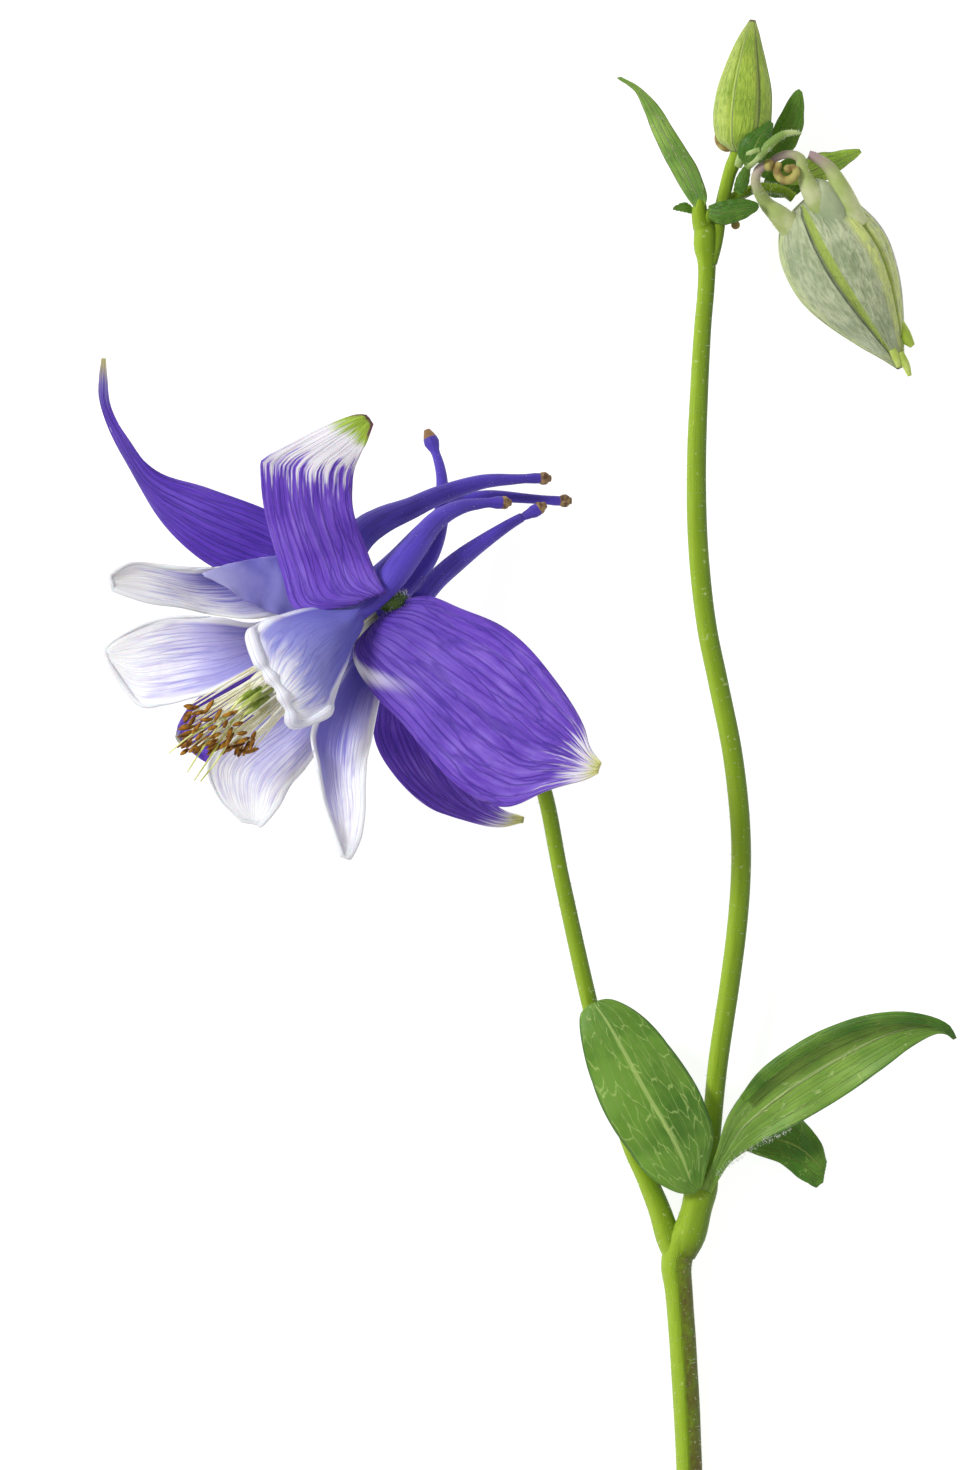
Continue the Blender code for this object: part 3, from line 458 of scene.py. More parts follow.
def smooth_rows(rows, count, steps=None):
    """Even rows read from a smooth curve through the given rows of numbers."""
    rows = np.array(rows, dtype=float)
    ends = np.vstack([2 * rows[0] - rows[1], rows, 2 * rows[-1] - rows[-2]])
    if steps is None:
        steps = np.linalg.norm(np.diff(rows[:, :3], axis=0), axis=1)
    knots = np.concatenate([[0.0], np.cumsum(np.maximum(steps, 1e-9))])
    out = []
    for distance in np.linspace(0.0, knots[-1], count):
        k = int(min(np.searchsorted(knots, distance, side="right") - 1, len(rows) - 2))
        t = (distance - knots[k]) / (knots[k + 1] - knots[k])
        a, b, c, d = ends[k], ends[k + 1], ends[k + 2], ends[k + 3]
        out.append(0.5 * (2 * b + (c - a) * t + (2 * a - 5 * b + 4 * c - d) * t ** 2
                          + (3 * b - a - 3 * c + d) * t ** 3))
    return np.array(out)


def nearest(share, steps):
    """Index of the step nearest to a share of the way."""
    return min(max(int(round(share * steps)), 0), steps)


def mapped_grid(across, along, place, closed=False, uv=None):
    """Grid of faces, with its UV map, put in place by a function of (0 to 1, 0 to 1)."""
    bm = bmesh.new()
    bmesh.ops.create_grid(bm, x_segments=across, y_segments=along, size=1.0)
    layer = bm.loops.layers.uv.new("UVMap")
    for face in bm.faces:
        for loop in face.loops:
            u, v = (loop.vert.co.x + 1.0) / 2.0, (loop.vert.co.y + 1.0) / 2.0
            loop[layer].uv = uv(u, v) if uv else (u, v)
    for vert in bm.verts:
        vert.co = place((vert.co.x + 1.0) / 2.0, (vert.co.y + 1.0) / 2.0)
    if closed:
        bmesh.ops.remove_doubles(bm, verts=bm.verts[:], dist=1e-8)
    return bm


def link_mesh(name, bm, material):
    """Object in the scene from a bmesh, with its material."""
    mesh = bpy.data.meshes.new(name)
    bm.to_mesh(mesh)
    bm.free()
    piece = bpy.data.objects.new(name, mesh)
    bpy.context.scene.collection.objects.link(piece)
    mesh.materials.append(material)
    return piece


def add_piece(name, bm, material, node=None, thick=None):
    """Finished piece that rides on the stem, and stands for a CAD node where one is named."""
    for face in bm.faces:
        face.smooth = True
    piece = link_mesh(name, bm, material)
    if thick:
        solidify = piece.modifiers.new("Thickness", "SOLIDIFY")
        solidify.thickness = thick * MM
        solidify.offset = 0.0
        solidify.use_even_offset = False
    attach(piece, "root")
    if node:
        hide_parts(node)


def rgb(text):
    """Linear colour from a screen colour such as 6A4FC0."""
    channels = [int(text[k:k + 2], 16) / 255.0 for k in (0, 2, 4)]
    return tuple(c / 12.92 if c < 0.04045 else ((c + 0.055) / 1.055) ** 2.4 for c in channels)


def feed(tree, slot, value):
    """Give a socket a link, a screen colour or a value."""
    if isinstance(value, Wave):
        value = value.socket
    if isinstance(value, bpy.types.NodeSocket):
        tree.links.new(value, slot)
    elif isinstance(value, str):
        slot.default_value = (*rgb(value), 1.0)
    else:
        slot.default_value = value


class Wave:
    """A number that varies over a surface. Operators on it add Math nodes to its material."""

    def __init__(self, tree, socket):
        self.tree = tree
        self.socket = socket

    def math(self, operation, *values):
        node = self.tree.nodes.new("ShaderNodeMath")
        node.operation = operation
        for slot, value in zip(node.inputs, values):
            feed(self.tree, slot, value)
        return Wave(self.tree, node.outputs[0])

    def __add__(self, other):
        return self.math("ADD", self, other)

    def __sub__(self, other):
        return self.math("SUBTRACT", self, other)

    def __rsub__(self, other):
        return self.math("SUBTRACT", other, self)

    def __mul__(self, other):
        return self.math("MULTIPLY", self, other)

    def __pow__(self, other):
        return self.math("POWER", self, other)

    def __abs__(self):
        return self.math("ABSOLUTE", self)

    def sine(self):
        return self.math("SINE", self)

    def step(self, low, high):
        """Smooth rise from 0 at low to 1 at high."""
        node = self.tree.nodes.new("ShaderNodeMapRange")
        node.interpolation_type = "SMOOTHSTEP"
        for key, value in (("Value", self), ("From Min", low), ("From Max", high)):
            feed(self.tree, node.inputs[key], value)
        return Wave(self.tree, node.outputs["Result"])

    def fall(self, low, high):
        """Smooth fall from 1 at low to 0 at high."""
        return 1.0 - self.step(low, high)


class Finish:
    """One Principled material and the nodes that feed it."""

    def __init__(self, name, roughness, **constants):
        self.material = bpy.data.materials.new(name)
        self.material.use_nodes = True
        self.tree = self.material.node_tree
        self.shader = self.tree.nodes["Principled BSDF"]
        shared = {"Specular IOR Level": SPECULAR, "Subsurface Scale": LIGHT_DEPTH}
        for key, value in dict(roughness=roughness, **constants).items():
            shared[key.replace("_", " ").title()] = value
        for key, value in shared.items():
            self.shader.inputs[key].default_value = value
        maps = self.node("ShaderNodeTexCoord").outputs
        self.place, self.map = maps["Object"], maps["UV"]
        self.u, self.v = self.split(self.map)[:2]

    def node(self, kind, settings=None, *first, **values):
        """Any node: its settings, its first sockets in order, then sockets by their names."""
        node = self.tree.nodes.new(kind)
        for key, value in (settings or {}).items():
            setattr(node, key, value)
        for slot, value in zip(node.inputs, first):
            feed(self.tree, slot, value)
        for key, value in values.items():
            feed(self.tree, node.inputs[key], value)
        return node

    def split(self, vector):
        """The three numbers of a vector."""
        parts = self.node("ShaderNodeSeparateXYZ", Vector=vector).outputs
        return [Wave(self.tree, part) for part in parts]

    def noise(self, scale, detail=3.0, stretch=None):
        """Noise on the object's place, or on its UV map where a stretch is given."""
        source = self.place
        if stretch:
            source = self.node("ShaderNodeMapping", Vector=self.map, Scale=stretch).outputs[0]
        node = self.node("ShaderNodeTexNoise", Vector=source, Scale=scale, Detail=detail)
        return Wave(self.tree, node.outputs["Fac"])

    def net(self, across, along, waver=0.6):
        """Distance from the lines of a branching net that is drawn out along the UV map."""
        sway = self.node("ShaderNodeTexNoise", Vector=self.map, Scale=7.0, Detail=3.0)
        drawn = self.node("ShaderNodeMapping", Vector=self.map, Scale=(across, along, 1.0))
        pull = self.node("ShaderNodeVectorMath", {"operation": "SCALE"}, sway.outputs["Color"],
                         Scale=waver)
        moved = self.node("ShaderNodeVectorMath", {"operation": "ADD"}, drawn.outputs[0],
                          pull.outputs[0])
        cells = self.node("ShaderNodeTexVoronoi", {"feature": "DISTANCE_TO_EDGE"},
                          Vector=moved.outputs[0], Scale=1.0)
        return Wave(self.tree, cells.outputs["Distance"])

    def paint(self, colour, *coats):
        """Colour with others laid over it in turn, each by an amount that varies."""
        for tint, amount in coats:
            node = self.node("ShaderNodeMix", {"data_type": "RGBA"}, amount)
            feed(self.tree, node.inputs[6], colour)
            feed(self.tree, node.inputs[7], tint)
            colour = node.outputs[2]
        return colour

    def coat(self, colour, height=None, depth=0.0):
        """The material, fed with a colour and a relief."""
        self.tree.links.new(colour, self.shader.inputs["Base Color"])
        if height:
            bump = self.node("ShaderNodeBump", Height=height, Distance=depth)
            self.tree.links.new(bump.outputs[0], self.shader.inputs["Normal"])
        return self.material


def sepal_finish(name, light, middle, dark, tip, tip_start, patch, patch_start, claw=None,
                 tip_edge=None, fray=0.34):
    """Veined violet with painted shade towards the base, a pale frayed patch towards the tip and a
    green tip.
    """
    f = Finish(name, 0.55, sheen_weight=0.05, subsurface_weight=0.1)
    cloud = f.noise(160.0, 4.0)
    grain = f.noise(900.0, 3.0)
    streak = f.noise(4.0, 6.0, (7.0, 1.5, 1.0))
    net = f.net(13.0, 2.6).fall(0.0, 0.09)
    fine = f.net(26.0, 6.0, 1.0).fall(0.0, 0.08)
    frayed = f.v + (streak - 0.5) * fray
    coats = [
        (light, (streak * 0.7 + cloud * 0.5).step(0.52, 0.86) * 0.75),
        (dark, (streak * 0.6 + cloud * 0.6).fall(0.40, 0.60) * 0.55),
        (dark, net * 0.55 * f.v.fall(0.8, 0.98)),
        (dark, fine * 0.25),
        # painted shade: darker towards the base of the sepal
        (dark, f.v.fall(0.05, 0.38) * (cloud * 0.6 + streak * 0.6).step(0.3, 0.7) * 0.5),
        (patch, frayed.step(patch_start, patch_start + 0.12) * 0.9),
        (tip, (f.v + (streak - 0.5) * 0.14).step(tip_start, tip_start + 0.07)),
    ]
    if tip_edge:
        rim = abs(f.u - 0.5).step(0.36, 0.5) * f.v.step(0.93, 0.98)
        coats.append((tip_edge, rim + f.v.step(0.985, 1.0)))
    if claw:
        line = abs(f.u + f.v * 1.5 + (streak - 0.5) * 0.1 - 1.14).fall(0.01, 0.10)
        coats.append((claw, line * f.v.fall(0.08, 0.30) * 0.9))
    relief = net * -0.35 + streak * 0.5 + cloud * 0.4 + grain * 0.15
    return f.coat(f.paint(middle, *coats), relief, 0.00018)


def petal_finish(name, blade, hood, rim_start, lean):
    """Violet spur, with painted shade in patches over it, that turns lilac in the hood and white at
    the rim, with a brown knob.
    """
    rim, spur, knob = "FAFAFC", "5440B8", "8C6A42"
    f = Finish(name, 0.55, sheen_weight=0.05, subsurface_weight=0.12)
    cloud = f.noise(170.0, 4.0)
    streak = f.noise(4.0, 6.0, (7.0, 1.3, 1.0))
    net = f.net(14.0, 3.0).fall(0.0, 0.07)
    leaning = f.v + (f.u - 0.5) * lean
    frayed = leaning + (streak - 0.5) * 0.4 + (cloud - 0.5) * 0.2
    mottle = (streak * 0.6 + cloud * 0.6).step(0.55, 0.78) * f.v.fall(0.9, 1.03)
    edge = (abs(f.u - 0.5) + (cloud - 0.5) * 0.08).step(0.40, 0.47)
    # painted shade in patches over the spur
    spur_shade = (cloud * 0.7 + streak * 0.5).fall(0.45, 0.65)
    colour = f.paint(
        spur,
        (hood, (f.v + (streak - 0.5) * 0.3).step(0.34, 0.52)),
        (blade, frayed.step(0.58, 0.84)),
        (rim, (leaning + (streak - 0.5) * 0.45).step(rim_start - 0.16, rim_start + 0.04)),
        (hood, mottle * f.v.step(0.4, 0.6) * 0.55),
        (hood, net * 0.4 * f.v.fall(0.85, 0.99) * f.v.step(0.4, 0.5)),
        (rim, edge * f.v.step(0.5, 0.66) * 0.9),
        (SPUR_SHADE, spur_shade * f.v.fall(0.3, 0.42) * 0.5),
        (knob, f.v.fall(0.014, 0.019)),
    )
    return f.coat(colour, streak * 0.5 + cloud * 0.5 - net * 0.2, 0.00013)


def leaf_finish(name, light, dark, vein, veins, edge=None, raised=1.0, net_share=0.35):
    """Mottled green with a middle rib, side veins and a net between them."""
    f = Finish(name, 0.5, sheen_weight=0.04, subsurface_weight=0.06)
    cloud = f.noise(260.0, 5.0)
    patches = f.noise(70.0, 3.0)
    drift = (f.noise(3.0, 2.0, (1.5, 3.0, 1.0)) - 0.5) * 0.05
    line = (1.0 - abs(((f.u + drift) * (math.pi * veins)).sine())) ** 26.0 * f.v.fall(0.86, 1.0)
    net = f.net(veins * 1.9, 6.0, 0.7).fall(0.0, 0.045)
    middle = (abs(f.u - 0.5) - 0.012).fall(0.0, 0.022)
    coats = [
        (light, (patches * 0.6 + cloud * 0.5).step(0.42, 0.7)),
        (vein, net * net_share),
        (vein, line * 0.6),
        (vein, middle * 0.75),
        (light, f.v.fall(0.0, 0.10)),
    ]
    if edge:
        coats.append((edge, abs(f.u - 0.5).step(0.46, 0.5) * 0.8 * f.v.step(0.1, 0.3)))
    relief = cloud * 0.4 + (line + net * 0.5 + middle) * raised
    return f.coat(f.paint(dark, *coats), relief, 0.00015)


def stalk_finish(name, light, middle, dark, warm):
    """Fibrous green with painted light on one side, painted shade on the other, and a brownish
    groove near the cut.
    """
    f = Finish(name, 0.45, subsurface_weight=0.05)
    fibre = f.noise(5.0, 5.0, (30.0, 2.5, 1.0))
    cloud = f.noise(150.0, 4.0)
    speck = f.noise(1500.0, 2.0)
    low = f.split(f.place)[1].fall(-0.0615, -0.0575)
    groove = (abs(f.u - 0.61) + (fibre - 0.5) * 0.05).fall(0.07, 0.13)
    colour = f.paint(
        middle,
        # painted light along one side of the stalk, then painted shade along the other side
        (light, (abs(f.u - 0.36) + (fibre - 0.5) * 0.12).fall(0.03, 0.17) * 0.85),
        (dark, (abs(f.u - 0.72) + (fibre - 0.5) * 0.10).fall(0.03, 0.2) * 0.85),
        (light, (cloud * 0.6 + fibre * 0.5).step(0.6, 0.8) * 0.3),
        (warm, low * groove * (cloud * 0.8 + speck * 0.5).step(0.35, 0.75) * 0.9),
        ("D8E2A0", speck.step(0.66, 0.74) * 0.45),
    )
    return f.coat(colour, fibre * 0.8 + cloud * 0.2 - groove * low * 0.8, 0.00016)


def bud_finish(name, body, dark, seam, seams, blush, crinkle):
    """Folded sepals: pale strips in the seams between them, and a shadow beside each strip."""
    f = Finish(name, 0.7, sheen_weight=0.25, subsurface_weight=0.06)
    cloud = f.noise(260.0, 5.0)
    fibre = f.noise(5.0, 6.0, (16.0, 3.0, 1.0))
    net = f.net(34.0, 8.0, 1.4).fall(0.0, 0.09)
    around = f.u + (fibre - 0.5) * 0.05
    coats = [(body, (cloud * 0.5 + fibre * 0.6).step(0.42, 0.68)), (body, net * 0.2)]
    for start, end, tint, share in blush:
        band = around.step(start, start + 0.03) * around.fall(end, end + 0.03)
        coats.append((tint, band * (fibre * 0.8 + cloud * 0.4).step(0.38, 0.7) * share))
    lines = []
    for place, width, _ in seams:
        strip = abs(f.u - place).fall(width * 0.42, width * 0.56)
        lines.append(abs(f.u - (place + width * 0.55)).fall(0.0, 0.008))
        coats += [(seam, strip * 0.9), (SEAM_SHADOW, lines[-1] * 0.6)]
    coats += [
        (seam, (f.v + (fibre - 0.5) * 0.2).step(0.84, 1.0) * 0.7),
        ("6A4A3C", f.v.step(0.975, 0.995) * 0.9),
    ]
    relief = fibre * crinkle + cloud * 0.3 + net * 0.15 - sum(lines[1:], lines[0])
    return f.coat(f.paint(dark, *coats), relief, 0.0003)


def bud_folds(seams, depth, crinkle, ridges):
    """Radius over (u, v) of a bud whose sepals overlap at seams."""

    def swell(u, v):
        close = math.sin(math.pi * min(max(v, 0.0), 1.0)) ** 0.5
        size = 1.0 + crinkle * close * noise.noise(Vector((u * 24.0, v * 5.0, 4.0)))
        sway = 2.0 * noise.noise(Vector((u * 5.0, v * 4.0, 1.0)))
        size += ridges * close * math.sin(u * math.tau * 21.0 + sway)
        for place, width, cover in seams:
            away = (u - place + 0.5) % 1.0 - 0.5
            if abs(away) < width * 0.5:
                size -= depth * close
            else:
                beside = max(0.0, 1.0 - (abs(away) - width * 0.5) / 0.09)
                size += depth * 0.45 * close * beside * (1.0 if away * cover > 0.0 else 0.2)
        return size

    return swell


def plain_finish(name, low, high, scale, roughness, depth=0.0001, end=None):
    """Two colours mottled together, with a fine relief."""
    f = Finish(name, roughness, subsurface_weight=0.08)
    cloud = f.noise(scale, 4.0)
    colour = f.paint(low, (high, cloud.step(0.35, 0.65)))
    if end:
        colour = f.paint(colour, (end, f.v.step(0.55, 1.0)))
    return f.coat(colour, cloud, depth)


def plain(name):
    """Plain finish of that name, made at its first use."""
    return bpy.data.materials.get(name) or plain_finish(name, *PLAIN[name])


def blade_surface(stations, along, ripple=0.0, ripples=5.0, relief=0.0, veins=0, thickness=0.3,
                  seed=0.0, scallop=0.0, scallops=0.0):
    """Function (u, v) to point for a blade between two edges, with its ripples and vein relief."""
    rows = [[*left, *right, hollow * MM] for left, right, hollow in stations]
    rows = smooth_rows(rows, along + 1)
    ups = []
    for k in range(along, -1, -1):
        before, after = rows[max(k - 1, 0)], rows[min(k + 1, along)]
        run = Vector(after[0:3] + after[3:6] - before[0:3] - before[3:6])
        up = run.cross(Vector(rows[k][3:6] - rows[k][0:3])).normalized()
        if up.dot(ups[0] if ups else UP) < 0.0:
            up.negate()
        ups.insert(0, up)

    def place(u, v):
        k = nearest(v, along)
        left, right = Vector(rows[k][0:3]), Vector(rows[k][3:6])
        rim = abs(2.0 * u - 1.0)
        side = 1.0 if u > 0.5 else -1.0
        taper = min((right - left).length / (3.0 * MM), 1.0)
        swell = rows[k][6] * (1.0 - (2.0 * u - 1.0) ** 2)
        wave = math.sin(ripples * math.tau * v + side * 1.3 + seed)
        swell += ripple * MM * taper * rim ** 3 * wave
        swell += 0.5 * ripple * MM * taper * noise.noise(Vector((u * 3.0, v * 6.0, seed)))
        swell += relief * MM * taper * abs(math.sin(math.pi * veins * u)) * (1.0 - v * 0.5)
        notch = abs(math.sin(scallops * math.pi * v)) - 0.5
        spread = (right - left).normalized() * (scallop * MM * rim ** 6 * side * notch * taper)
        point = left.lerp(right, u) + ups[k] * swell + spread
        point.z = max(point.z, 0.5 * thickness * MM)
        return point

    return place


def world_stations(rows, root_angle=None):
    """Stations of a blade: its two edges as world points, and the hollow between them.

    A sepal's narrow root, beside the receptacle at that angle round the flower, is put first.
    """
    places = [(spot(row[:3]), spot(row[3:6]), row[6]) for row in rows]
    if root_angle is None:
        return places
    along, out, half_width = SEPAL_ROOT
    middle = in_flower(along, out, root_angle)
    half = (places[0][1] - places[0][0]).normalized() * half_width * MM
    return [(middle - half, middle + half, 0.0)] + places


def tube_rows(stations, rings):
    """Centre, radius and two cross directions along a tube."""
    rows = smooth_rows([[*spot(s), s[3] * MM] for s in stations], rings + 1)
    centres = [Vector(row[:3]) for row in rows]
    frames = []
    side = UP
    for k in range(rings + 1):
        run = (centres[min(k + 1, rings)] - centres[max(k - 1, 0)]).normalized()
        side = (side - run * side.dot(run)).normalized()
        frames.append((side.copy(), run.cross(side)))
    return centres, [row[3] for row in rows], frames


def tube_mesh(stations, sides, rings, swell=None):
    """Closed round tube as a bmesh. The swell function changes its radius over (u, v)."""
    centres, radii, frames = tube_rows(stations, rings)

    def place(u, v):
        k = nearest(v, rings)
        turn = math.tau * (u - 0.5)
        first, second = frames[k]
        radius = radii[k] * (swell(u, v) if swell else 1.0)
        point = centres[k] + (first * math.cos(turn) + second * math.sin(turn)) * radius
        point.z = max(point.z, 0.0)
        return point

    bm = mapped_grid(sides, rings, place, closed=True)
    rims = [edge for edge in bm.edges if edge.is_boundary]
    caps = bmesh.ops.holes_fill(bm, edges=rims, sides=0)["faces"]
    bmesh.ops.triangulate(bm, faces=caps)
    bmesh.ops.recalc_face_normals(bm, faces=bm.faces[:])
    return bm


def join_into(target, extra):
    """Add the faces of one bmesh to another."""
    mesh = bpy.data.meshes.new("part")
    extra.to_mesh(mesh)
    extra.free()
    target.from_mesh(mesh)
    bpy.data.meshes.remove(mesh)


def joined_tubes(groups, sides, rings):
    """Tubes kept in one mesh."""
    bm = bmesh.new()
    for stations in groups:
        join_into(bm, tube_mesh(stations, sides, rings))
    return bm


def add_tube(bm, points, sides, rings, swell=None):
    """Add a tube through world points, each with its radius in millimetres, to a bmesh."""
    join_into(bm, tube_mesh([place_of(*point) for point in points], sides, rings, swell))


def facing(direction):
    """Turn that points the Z axis along a direction."""
    return direction.to_track_quat("Z", "Y").to_matrix().to_4x4()


def settle(bm, centre, stretch=(1.0, 1.0, 1.0), direction=None):
    """A mesh made at the origin: stretched, its Z axis turned to a direction, and moved."""
    bmesh.ops.scale(bm, verts=bm.verts[:], vec=stretch)
    if direction:
        bmesh.ops.transform(bm, verts=bm.verts[:], matrix=facing(direction))
    bmesh.ops.translate(bm, verts=bm.verts[:], vec=centre)
    return bm


def ball(place, radius, subdivisions, stretch=(1.0, 1.0, 1.0)):
    """Ball at a place, drawn out along the axes."""
    bm = bmesh.new()
    bmesh.ops.create_icosphere(bm, subdivisions=subdivisions, radius=radius * MM)
    return settle(bm, spot(place), stretch)


def petal_surface(name):
    """Petal as one sheet: a closed spur that opens into a hood and flares into the blade."""
    blade = world_stations(PETALS[name])
    centres, radii, _ = tube_rows(SPURS[name][:0:-1], SPUR_RINGS)
    left, right, _ = blade[1]
    outward = spot(SPURS[name][0]) - spot(FLOWER_HEART)
    outward -= FLOWER_AXIS * outward.dot(FLOWER_AXIS)
    outward.normalize()
    rings = []
    for k, centre in enumerate(centres):
        run = (centres[min(k + 1, SPUR_RINGS)] - centres[max(k - 1, 0)]).normalized()
        out = (outward - run * outward.dot(run)).normalized()
        across = right - left
        across = (across - run * across.dot(run) - out * across.dot(out)).normalized()
        ring = []
        for j in range(PETAL_AROUND + 1):
            turn = math.tau * (j / PETAL_AROUND - 0.5)
            ring.append(centre + (out * math.cos(turn) + across * math.sin(turn)) * radii[k])
        rings.append(ring)
    place = blade_surface(blade, BLADE_RINGS, PETAL_RIPPLE, 3.0, 0.015, 9, PETAL_THICK,
                          seed=len(name) + PETAL_ANGLES[name])
    for k in range(BLADE_START, BLADE_RINGS + 1, BLADE_STEP):
        rings.append([place(j / PETAL_AROUND, k / BLADE_RINGS) for j in range(PETAL_AROUND + 1)])
    middle = PETAL_AROUND // 2
    steps = [(before[middle] - after[middle]).length for before, after in zip(rings, rings[1:])]
    flat = [[c for point in ring for c in point] for ring in rings]
    return smooth_rows(flat, PETAL_RINGS + 1, steps), sum(steps[:SPUR_RINGS]) / sum(steps)


def rim_roll(rows, radius, start):
    """Rolled edge of a petal, along one side, round the tip and back along the other side."""
    first = int(PETAL_RINGS * start)
    path = [rows[k][0:3] for k in range(first, PETAL_RINGS, ROLL_STEP)]
    path += [rows[PETAL_RINGS][j * 3:j * 3 + 3] for j in range(0, PETAL_AROUND + 1, 4)]
    path += [rows[k][-3:] for k in range(PETAL_RINGS - ROLL_STEP, first - 1, -ROLL_STEP)]
    count = len(path)
    stations = []
    for k, point in enumerate(path):
        ends = min(0.3 + min(k, count - 1 - k) / 3.0, 1.0)
        lumps = 1.0 + 0.3 * math.sin(k * 1.9 + count)
        stations.append(place_of(Vector(point), radius * ends * lumps))
    bm = tube_mesh(stations, 10, count * 4)
    layer = bm.loops.layers.uv.active
    for face in bm.faces:
        for loop in face.loops:
            loop[layer].uv = (loop[layer].uv.x, RIM_MAP)
    return bm


def build_petal(name, material, roll, radius):
    rows, mouth = petal_surface(name)

    def place(u, v):
        j = int(round(u * PETAL_AROUND)) * 3
        point = Vector(rows[nearest(v, PETAL_RINGS)][j:j + 3])
        point.z = max(point.z, 0.5 * PETAL_THICK * MM)
        return point

    def uv(u, v):
        if v < mouth:
            return u, SPUR_SHARE * v / mouth
        return u, SPUR_SHARE + (1.0 - SPUR_SHARE) * (v - mouth) / (1.0 - mouth)

    bm = mapped_grid(PETAL_AROUND, PETAL_RINGS, place, closed=True, uv=uv)
    tip = [e for e in bm.edges if e.is_boundary
           and all((v.co - spot(SPURS[name][-1])).length < 1.2 * MM for v in e.verts)]
    bmesh.ops.holes_fill(bm, edges=tip, sides=0)
    add_piece(name + "_sheet", bm, material, name, PETAL_THICK)
    edge = rim_roll(rows, radius, mouth + (1.0 - mouth) * (1.0 - roll))
    add_piece(name + "_rolled_edge", edge, material, name)


def build_blade(name, rows, material, slot, thick, node=None, across=28, along=72,
                root_angle=None, **shape):
    place = blade_surface(world_stations(rows, root_angle), along, thickness=thick, **shape)
    add_piece(name, mapped_grid(across, along, place), material, node, thick)


def build_sepals():
    for name, rows in SEPALS.items():
        angle = SEPAL_ANGLES[name]
        build_blade(name + "_blade", rows, sepal_finish(name + "_violet", **SEPAL_LOOKS[name]),
                    "violet_sepal", SEPAL_THICK, name, root_angle=angle, ripple=0.5,
                    ripples=2.5, relief=0.04, veins=9, seed=angle)
    build_blade("sepal_1_fold", SEPAL_1_FOLD, plain("sepal_inside"), "violet_sepal",
                SEPAL_THICK, "sepal_1", 10, 40, ripple=0.1)


def build_petals():
    for name, (blade, hood, rim_start, lean, roll, radius) in PETAL_LOOKS.items():
        material = petal_finish(name + "_white", blade, hood, rim_start, lean)
        build_petal(name, material, roll, radius)
    build_blade("petal_1_back", PETAL_1_BACK, plain("petal_back"), "petal_white", PETAL_THICK,
                "petal_1", 24, 60, ripple=0.15, relief=0.03, veins=7)
    knobs = bmesh.new()
    for stations in SPURS.values():
        end = spot(stations[-3]).lerp(spot(stations[-2]), 0.6)
        run = (spot(stations[-1]) - spot(stations[-4])).normalized()
        knob = bmesh.new()
        bmesh.ops.create_uvsphere(knob, u_segments=20, v_segments=12, radius=KNOB_RADIUS * MM)
        bmesh.ops.scale(knob, verts=knob.verts[:], vec=(1.0, 1.0, 1.15))
        for vert in knob.verts:
            vert.co *= 1.0 + 0.10 * noise.noise(vert.co * 2600.0)
            if vert.co.z > KNOB_FLAT:
                vert.co.z -= 0.3 * (vert.co.z - KNOB_FLAT)
        join_into(knobs, settle(knob, end, direction=run))
    add_piece("spur_knobs", knobs, plain("spur_knob"))
    down = hairs([(stations[2:-3], 150, 0.28) for stations in SPURS.values()], 7)
    add_piece("spur_hairs", down, plain("hair_white"))


def hairs(tubes, seed):
    """Short tapered hairs over tubes. Each entry holds stations, a count and a length."""
    draw = random.Random(seed)
    bm = bmesh.new()
    for stations, count, length in tubes:
        centres, radii, frames = tube_rows(stations, 80)
        for _ in range(count):
            k = draw.randrange(2, 78)
            turn = draw.uniform(0.0, math.tau)
            first, second = frames[k]
            out = first * math.cos(turn) + second * math.sin(turn)
            lean = (out + Vector([draw.uniform(-0.5, 0.5) for _ in range(3)])).normalized()
            size = length * draw.uniform(0.6, 1.3) * MM
            root = centres[k] + out * radii[k] * 0.97
            if (root + lean * size).z < 0.0:
                continue
            aim = Matrix.Translation(root + lean * size * 0.5) @ facing(lean)
            bmesh.ops.create_cone(bm, cap_ends=True, segments=3, radius1=HAIR_RADIUS * MM,
                                  radius2=HAIR_RADIUS * 0.2 * MM, depth=size, matrix=aim)
    return bm


def fused(pieces, name):
    """One closed mesh from overlapping closed ones."""
    objects = []
    for bm in pieces:
        mesh = bpy.data.meshes.new(name)
        bm.to_mesh(mesh)
        bm.free()
        objects.append(bpy.data.objects.new(name, mesh))
    first = objects[0]
    bpy.context.scene.collection.objects.link(first)
    group = bpy.data.collections.new(name + "_pieces")
    for piece in objects[1:]:
        group.objects.link(piece)
    union = first.modifiers.new("Union", "BOOLEAN")
    union.operation = "UNION"
    union.operand_type = "COLLECTION"
    union.collection = group
    union.solver = "EXACT"
    bpy.context.view_layer.update()
    graph = bpy.context.evaluated_depsgraph_get()
    result = bmesh.new()
    result.from_mesh(first.evaluated_get(graph).to_mesh())
    for piece in objects:
        bpy.data.objects.remove(piece, do_unlink=True)
    bpy.data.collections.remove(group)
    return result


